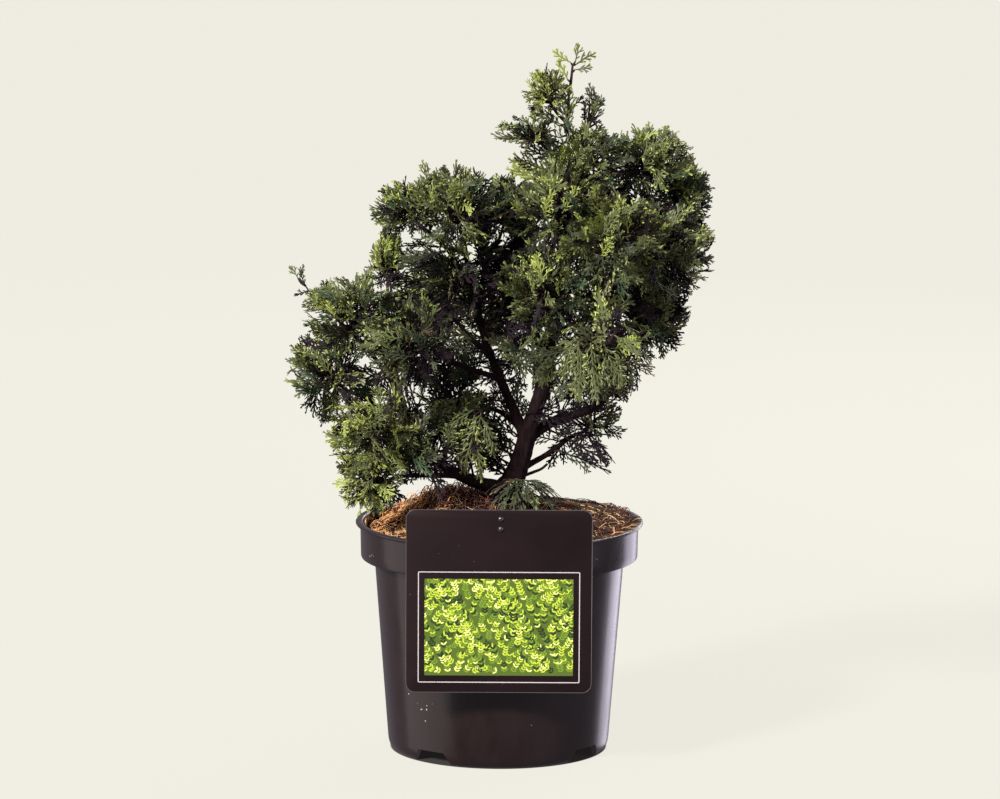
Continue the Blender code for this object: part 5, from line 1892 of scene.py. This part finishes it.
@dataclass
class Crown:
    """All the masses: twigs and fronds, dealt out by hue and by side of the plant."""

    limbs: Limbs
    box: Box
    variants: int = 6
    shell_fronds: int = 28
    fringe_fronds: int = 21
    inner_fronds: int = 9
    shell_depth: float = 0.55
    longest: float = 0.034
    spins: int = 8
    stem_past: float = 0.15
    stem_sag: float = 0.10
    stem_radii: tuple[float, float] = (0.0013, 0.0008)
    stem_points: int = 7
    twig_radii: tuple[float, float] = (0.0008, 0.0005)
    twig_points: int = 5
    twig_bend: float = 0.12
    root_depth: float = 0.8
    good_fit: float = 0.72
    least_fit: float = 0.5
    better_by: float = 0.04
    least_size: float = 0.66
    fresh_share: float = 0.8
    # Painted light and shade: sprays on the side of a mass toward the key light are dealt lighter hues, those away
    # from it darker ones
    light_from: Point = (-0.50, -0.40, 0.77)
    painted_light_pull: float = 0.56
    drape_top: Point = (0.0155, -0.0150, 0.1815)
    drape_fronds: int = 18
    drape_turn: float = 1.75
    drape_layers: int = 3
    drape_size: tuple[float, float] = (0.74, 0.95)
    drape_droop: tuple[float, float] = (20, 26)
    drape_cup: float = 16.0
    drape_fresh_share: float = 0.3
    fronds: dict[FrondKind, list[Frond]] = field(default_factory=dict)
    surfaces: dict[tuple[Hue, Side], Surface] = field(default_factory=dict)
    sources: dict[tuple[Hue, Side], set[str]] = field(default_factory=dict)
    twigs: Surface = field(default_factory=Surface)

    def build(self) -> None:
        """Grows every mass and makes the pieces."""
        dice = random.Random("fronds")
        for kind in FrondKind:
            self.fronds[kind] = [Frond(kind, dice) for _ in range(self.variants)]
        for mass in MASSES.values():
            self.grow(mass)
        for row in BOUGH_FRONDS:
            self.grow_along(row)
        for chosen in CHOSEN_FRONDS:
            self.grow_chosen(chosen)
        self.grow_drape()
        for hue, side in sorted(self.surfaces, key=lambda key: (key[0].value, key[1].value)):
            look = HUE_LOOKS[hue]
            finish = PlainFinish(f"foliage_{hue.value}", look.colour, 0.55, look.shine)
            name, nodes = f"fronds_{hue.value}_{side.value}", sorted(self.sources[hue, side])
            mesh_piece(name, self.surfaces[hue, side], finish, False, nodes)
        mesh_piece("twigs", self.twigs, TWIG_BARK, True)

    def stem_of(self, mass: Mass, middle: Vector) -> tuple[Vector, Vector]:
        """Where a mass's stem starts, and which way it runs.

        Args:
            mass: The mass.
            middle: Its middle.

        Returns:
            The start and the direction.
        """
        line, radii = self.limbs.shapes[mass.limb]
        foot = point_along(line, mass.along)
        towards = (middle - foot).normalized()
        if mass.along >= 1.0:
            return foot - (line[-1] - line[-2]).normalized() * 0.001, towards
        index = min(int(mass.along * (len(line) - 1)), len(line) - 2)
        axis = (line[index + 1] - line[index]).normalized()
        return foot + flattened(towards, axis) * (radii[index] * self.root_depth), towards

    def grow(self, mass: Mass) -> None:
        """Grows one mass: a stem, and from it a shell of fans, a fringe of fronds and dark inner ones in painted
        shade.

        Args:
            mass: The mass.
        """
        middle = Vector(mass.middle)
        start, towards = self.stem_of(mass, middle)
        tip = middle + towards * (min(mass.reach) * self.stem_past)
        bow = start.lerp(tip, 0.5) + Vector((0, 0, -self.stem_sag * (tip - start).length))
        stem = smooth_line((start, bow, tip), self.stem_points)
        self.twigs.add(*tube(stem, np.linspace(*self.stem_radii, self.stem_points), 6))
        growth = Growth(mass, MassSpace(mass, self.limbs, self.box), random.Random(mass.name), stem)
        axis = (tip - start).normalized()
        layers = (
            (self.shell_fronds, self.grow_shell),
            (self.fringe_fronds, self.grow_fringe),
            (self.inner_fronds, self.grow_inner),
        )
        for count, grow_one in layers:
            spin = growth.dice.uniform(0, FULL_TURN)
            for direction in spiral_directions(axis, round(count * mass.fullness), spin):
                grow_one(growth, direction)

    def grow_shell(self, growth: Growth, direction: Vector) -> None:
        """Grows one fan that lies over the outside of the mass and faces outward.

        Args:
            growth: What it grows from.
            direction: Where it is, seen from the middle.
        """
        mass, dice = growth.mass, growth.dice
        depth = self.shell_depth * dice.uniform(0.75, 1.15)
        foot = Vector(mass.middle) + Vector([d * r * depth for d, r in zip(direction, Vector(mass.reach))])
        out = Vector([d / r for d, r in zip(direction, Vector(mass.reach))]).normalized()
        if not bool(growth.space.holds(np.array([foot]))[0]):
            return
        self.grow_twig(point_along(growth.stem, dice.uniform(0.6, 0.98)), foot, dice)
        away = foot - growth.stem[0]
        flow = away - out * away.dot(out) + UP * (mass.lift * 0.02) + Vector([dice.gauss(0, 0.006) for _ in range(3)])
        along = (flattened(flow, out) * 0.88 + out * 0.48).normalized()
        facing = flattened(out, along)
        twist = dice.gauss(0, 0.35)
        facing = facing * math.cos(twist) + along.cross(facing) * math.sin(twist)
        self.add_spray(growth, foot, along, facing)

    def grow_fringe(self, growth: Growth, direction: Vector) -> None:
        """Grows a twig that points outward, with a frond at its end and one at its side.

        Args:
            growth: What it grows from.
            direction: The way that the twig points.
        """
        dice = growth.dice
        root = point_along(growth.stem, dice.uniform(0.55, 0.98))
        along = (direction + UP * growth.mass.lift).normalized()
        room = growth.space.room(np.array(root), np.array(along), self.longest * 1.4)
        end = root + along * (room * dice.uniform(0.22, 0.42))
        self.add_spray(growth, end, self.grow_twig(root, end, dice))
        around = upright_facing(along, dice.uniform(0, FULL_TURN))
        self.add_spray(growth, root.lerp(end, 0.7), (along * 0.75 + around * 0.75).normalized())

    def grow_inner(self, growth: Growth, direction: Vector) -> None:
        """Grows one dark frond inside the mass, its hue painted shade."""
        foot = point_along(growth.stem, growth.dice.uniform(0.55, 0.95))
        self.add_spray(growth, foot, direction, hue=Hue.DARK)

    def grow_along(self, row: BoughFronds) -> None:
        """Grows a row of fronds on short twigs along a bough.

        Args:
            row: The row of fronds.
        """
        dice = random.Random(f"{row.limb} {row.first}")
        mass = replace(MASSES[row.mass], palette=row.palette)
        growth = Growth(mass, Space(self.limbs, self.box), dice)
        line, radii = self.limbs.shapes[row.limb]
        for step in range(row.count):
            share = row.first + (row.last - row.first) * (step + dice.random()) / row.count
            index = min(int(share * (len(line) - 1)), len(line) - 2)
            axis = (line[index + 1] - line[index]).normalized()
            heading = Vector([part + dice.gauss(0, row.spread) for part in row.towards]).normalized()
            outward = flattened(heading, axis)
            along = (outward + axis * 0.4 + heading * 0.4).normalized()
            root = point_along(line, share) + outward * (radii[index] * self.root_depth)
            end = root + along * (row.twig * dice.uniform(0.4, 1.3) + radii[index])
            self.add_spray(growth, end, self.grow_twig(root, end, dice))
            around = upright_facing(along, dice.uniform(0, FULL_TURN))
            self.add_spray(growth, root.lerp(end, 0.6), (along * 0.7 + around * 0.8).normalized())

    def pick(self, kind: FrondKind, dice: random.Random) -> Frond:
        """A seeded variant of one kind of frond."""
        return self.fronds[kind][dice.randrange(self.variants)]

    def grow_chosen(self, chosen: ChosenFrond) -> None:
        """Grows one frond with a place of its own, and the twig that it ends.

        Args:
            chosen: The frond.
        """
        dice = random.Random(f"{chosen.mass} {chosen.foot}")
        foot = Vector(chosen.foot)
        self.grow_twig(Vector(chosen.start), foot, dice)
        along = Vector(chosen.towards).normalized()
        facing = flattened(Vector((dice.uniform(-0.5, 0.3), -1.0, dice.uniform(0.0, 0.6))), along)
        frond = self.pick(chosen.kind, dice)
        shape = (np.array(foot), np.array(along), np.array(facing))
        spray = Spray(frond, *shape, chosen.size, dice.uniform(2.0, 8.0), dice.uniform(2.0, 10.0))
        self.collect(spray, MASSES[chosen.mass], chosen.hue, True)

    def grow_drape(self) -> None:
        """Grows the spray at the trunk's foot: rings of fronds that drape down over the soil."""
        dice = random.Random("drape")
        mass = MASSES["sprays_foot"]
        top = Vector(self.drape_top)
        self.grow_twig(point_along(self.limbs.shapes[mass.limb][0], mass.along), top, dice)
        for step in range(self.drape_fronds):
            angle = self.drape_turn * ((step + 0.5) / self.drape_fronds * 2 - 1) + dice.uniform(-0.1, 0.1)
            layer = step % self.drape_layers
            out = Vector((math.sin(angle), -math.cos(angle) * 0.85, 0))
            foot = top + out * (0.003 * layer) - UP * (0.0018 * layer)
            along = (out + UP * (0.15 - 0.22 * layer)).normalized()
            frond = self.pick(FrondKind.MEDIUM, dice)
            shape = (np.array(foot), np.array(along), np.array(flattened(UP, along)))
            size, droop = dice.uniform(*self.drape_size), dice.uniform(*self.drape_droop)
            spray = Spray(frond, *shape, size, droop, self.drape_cup)
            # Painted shade in part: the DARK fronds among the drape
            hue = dice.choices((Hue.DARK, Hue.DEEP, Hue.MID, Hue.BROWN), (2, 6, 2, 3))[0]
            self.collect(spray, mass, hue, dice.random() < self.drape_fresh_share)

    def grow_twig(self, start: Vector, end: Vector, dice: random.Random) -> Vector:
        """Grows one bowed twig, and gives the direction that it ends in.

        Args:
            start: Where it starts.
            end: Where it ends.
            dice: The seeded source.

        Returns:
            The direction.
        """
        length = (end - start).length
        side = upright_facing((end - start).normalized(), dice.uniform(0, FULL_TURN))
        bend = start.lerp(end, 0.5) + side * (length * self.twig_bend)
        line = smooth_line((start, bend, end), self.twig_points)
        self.twigs.add(*tube(line, np.linspace(*self.twig_radii, self.twig_points), 4))
        return (end - bend).normalized()

    def add_spray(
        self, growth: Growth, foot: Vector, along: Vector, facing: Vector | None = None, hue: Hue | None = None
    ) -> None:
        """Fits a frond to the room that it has and deals it a hue.

        Args:
            growth: The mass that it belongs to, with its space and seeded source.
            foot: Where the frond leaves its twig.
            along: Its direction.
            facing: The way its face looks, or None to turn it to where it fits best.
            hue: Its hue, or None to deal one.
        """
        space, dice = growth.space, growth.dice
        start, ahead = np.array(foot), np.array(along)
        spin = dice.uniform(0, math.pi)
        variant = dice.randrange(self.variants)
        droop, cup = dice.uniform(-3.0, 9.0), dice.uniform(-4.0, 14.0)
        drawn, tip_drawn = dice.random(), dice.random()
        facings = [upright_facing(along, spin + math.pi * turn / self.spins) for turn in range(self.spins)]
        if facing is not None:
            facings = [facing]
            droop, cup = 6.0 + droop, 4.0 + cup
        room = space.room(start, ahead - np.array(facings[0]) * 0.1, self.longest * 1.15)
        kinds = [kind for kind in FrondKind if kind.value.length * 0.80 <= room] or [FrondKind.SMALL]
        for kind in kinds:
            frond = self.fronds[kind][variant]
            size = min(1.0, max(self.least_size, room / kind.value.length))
            best, best_share = None, 0.0
            for turned in facings:
                spray = Spray(frond, start, ahead, np.array(turned), size, droop, cup)
                outline = spray.placed(frond.outline)
                share = float((space.holds(outline) & space.clear(outline)).mean())
                if share > best_share + self.better_by:
                    best, best_share = spray, share
            if best is not None and best_share >= self.good_fit:
                break
        if best is None or best_share < self.least_fit:
            return
        if best_share < self.good_fit:
            best.size *= 0.8
        if hue is None:
            hue = self.deal(growth.mass, best, drawn)
        self.collect(best, growth.mass, hue, tip_drawn < self.fresh_share)

    def deal(self, mass: Mass, spray: Spray, drawn: float) -> Hue:
        """The hue of a spray: its mass's palette, drawn lighter towards the light and darker away from it, as painted
        light and shade.

        Args:
            mass: The mass that the spray belongs to.
            spray: The spray.
            drawn: The number that was drawn for it, from 0 to 1.

        Returns:
            The hue.
        """
        tip = spray.foot + spray.along * (spray.frond.kind.value.length * spray.size)
        outward = (tip - np.array(mass.middle)) / np.array(mass.reach)
        lit = float(outward @ np.array(self.light_from))
        # Painted light: the weights lean to the lighter hues on the side toward the light
        weights = [w * math.exp(self.painted_light_pull * lit * rank) for rank, w in enumerate(mass.palette.value)]
        wanted = drawn * sum(weights)
        for hue, weight in zip(Hue, weights):
            wanted -= weight
            if wanted <= 0:
                return hue
        return Hue.MID

    def collect(self, spray: Spray, mass: Mass, hue: Hue, fresh: bool) -> None:
        """Adds a spray's body in its darker hue, and its tips in their lighter hue where they are fresh.

        Args:
            spray: The spray.
            mass: The mass that it belongs to.
            hue: The hue it is dealt.
            fresh: Whether its tips are fresh.
        """
        look = HUE_LOOKS[hue]
        tones = ((look.body, spray.frond.body_mesh), (look.tips if fresh else hue, spray.frond.tip_mesh))
        for tone, (points, faces) in tones:
            self.surfaces.setdefault((tone, mass.side), Surface()).add(spray.placed(points), faces)
            self.sources.setdefault((tone, mass.side), set()).add(mass.name)


# The studio


@dataclass(frozen=True)
class SoftLight:
    """A rectangular soft light: its place, the point it faces, its width and height, watts and colour."""

    name: str
    place: Point
    aim: Point
    size: tuple[float, float]
    power: float
    tint: Colour


SOFT_LIGHTS = (
    SoftLight("window", (-1.15, -0.25, 0.20), (0, 0, 0.10), (1.4, 1.4), 5.0, (1.0, 0.97, 0.95)),
    SoftLight("rim", (0.85, 1.05, 0.10), (0, 0, 0.10), (0.7, 1.1), 6.5, (0.90, 0.84, 1.0)),
    SoftLight("fill", (1.30, -0.55, 0.45), (0, 0, 0.25), (1.0, 1.2), 5.5, (0.95, 0.86, 1.0)),
    SoftLight("back", (0.70, 1.60, 1.10), (0, 0, 0.25), (1.2, 1.2), 16, (1.0, 0.98, 0.95)),
)


@dataclass
class Studio:
    """A plain pale floor, soft light and the camera at the photograph's place."""

    camera_at: Point = (0.0, -3.5, 0.799)
    pitch: float = 0.1604
    roll: float = 0.0052
    focal: float = 5380.0
    image_width: int = 1000
    sensor_width: float = 36.0
    clip: tuple[float, float] = (0.05, 60.0)
    floor_size: float = 40.0
    floor_colour: Colour = (0.05, 0.049, 0.045)
    floor_glow: Colour = (0.806, 0.788, 0.702)
    # Painted shadow: the floor's glow turns dark inside the pot's foot, with a narrow soft edge
    shade: Colour = (0.012, 0.010, 0.010)
    painted_shadow_radius: float = 0.0712
    painted_shadow_edge: float = 0.001
    sky: Colour = (0.95, 0.87, 1.0)
    sky_strength: float = 0.25
    sun_strength: float = 5.4
    sun_breadth: float = 9
    sun_tint: Colour = (1.0, 0.98, 0.94)
    sun_at: Point = (-1.15, -1.35, 1.16)
    sun_aim: Point = (0, 0, 0.1)

    def build(self) -> None:
        """Makes the floor, the lights and the camera."""
        self.build_floor()
        self.build_sky()
        self.build_lights()
        self.build_camera()

    def build_floor(self) -> None:
        """A wide pale floor that shines evenly and takes only a faint shadow, with a painted shadow, a dark disc in
        its glow, under the pot's foot.
        """
        half = self.floor_size / 2
        mesh = bpy.data.meshes.new("floor")
        mesh.from_pydata([(-half, -half, 0), (half, -half, 0), (half, half, 0), (-half, half, 0)], [], [(0, 1, 2, 3)])
        floor = bpy.data.objects.new("floor", mesh)
        bpy.context.scene.collection.objects.link(floor)
        made, sketch, inputs = PlainFinish("floor", self.floor_colour, 1.0, 0.0).start()
        inputs["Base Color"].default_value = solid(self.floor_colour)
        away = sketch.add("VectorMath", {"operation": "LENGTH"}, Vector=sketch.place()).outputs["Value"]
        outer = self.painted_shadow_radius + self.painted_shadow_edge
        # The mask that fades the glow into the painted shadow inside the foot
        lit = sketch.add("MapRange", Value=away, From_Min=self.painted_shadow_radius, From_Max=outer).outputs["Result"]
        sketch.feed(inputs["Emission Color"], sketch.mix(lit, solid(self.shade), solid(self.floor_glow)))
        inputs["Emission Strength"].default_value = 1.0
        mesh.materials.append(made)
        floor.visible_diffuse = False
        floor.visible_glossy = False
        floor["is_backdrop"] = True

    def build_sky(self) -> None:
        """An even dim sky all round."""
        world = bpy.data.worlds.new("studio")
        world.use_nodes = True
        sky = world.node_tree.nodes["Background"].inputs
        sky["Color"].default_value = solid(self.sky)
        sky["Strength"].default_value = self.sky_strength
        bpy.context.scene.world = world

    def build_lights(self) -> None:
        """A key from the upper left, a window, a rim light, a faint fill at the right and a soft one behind."""
        sun = bpy.data.lights.new("key", "SUN")
        sun.angle = math.radians(self.sun_breadth)
        self.place_lamp(sun, self.sun_at, self.sun_aim, self.sun_strength, self.sun_tint)
        for light in SOFT_LIGHTS:
            lamp = bpy.data.lights.new(light.name, "AREA")
            lamp.shape = "RECTANGLE"
            lamp.size, lamp.size_y = light.size
            self.place_lamp(lamp, light.place, light.aim, light.power, light.tint)

    @staticmethod
    def place_lamp(lamp: bpy.types.Light, place: Point, aim: Point, power: float, tint: Colour) -> None:
        """Puts a lamp at a place, turns it to what it faces and sets its power and colour.

        Args:
            lamp: The lamp.
            place: Where it stands.
            aim: The point that it faces.
            power: Its power in watts, or its strength.
            tint: Its colour.
        """
        lamp.energy = power
        lamp.color = tint
        holder = bpy.data.objects.new(lamp.name, lamp)
        holder.location = place
        holder.rotation_euler = (Vector(aim) - Vector(place)).to_track_quat("-Z", "Y").to_euler()
        bpy.context.scene.collection.objects.link(holder)

    def build_camera(self) -> None:
        """The camera that sees the plant as the photograph does."""
        forward = Vector((0, math.cos(self.pitch), -math.sin(self.pitch)))
        right = Vector((1, 0, 0))
        up = right.cross(forward)
        across = right * math.cos(self.roll) + up * math.sin(self.roll)
        above = up * math.cos(self.roll) - right * math.sin(self.roll)
        lens = bpy.data.cameras.new("camera")
        lens.sensor_fit = "HORIZONTAL"
        lens.sensor_width = self.sensor_width
        lens.lens = self.focal / self.image_width * lens.sensor_width
        lens.clip_start, lens.clip_end = self.clip
        camera = bpy.data.objects.new("camera", lens)
        turn = Matrix((across, above, -forward)).transposed()
        camera.matrix_world = Matrix.Translation(self.camera_at) @ turn.to_4x4()
        bpy.context.scene.collection.objects.link(camera)
        bpy.context.scene.camera = camera
        bpy.context.scene.view_settings.view_transform = "Standard"


def main() -> None:
    """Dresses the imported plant, from the studio up to its crown."""
    logging.basicConfig(level=logging.INFO, format="%(name)s %(message)s")
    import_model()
    cad_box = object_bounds()
    Studio().build()
    pot = Pot()
    pot.build()
    RootBall(pot).build()
    Label(pot).build()
    limbs = Limbs()
    limbs.plan()
    limbs.build()
    Crown(limbs, (tuple(cad_box[0]), tuple(cad_box[1]))).build()


if __name__ == "__main__":
    main()
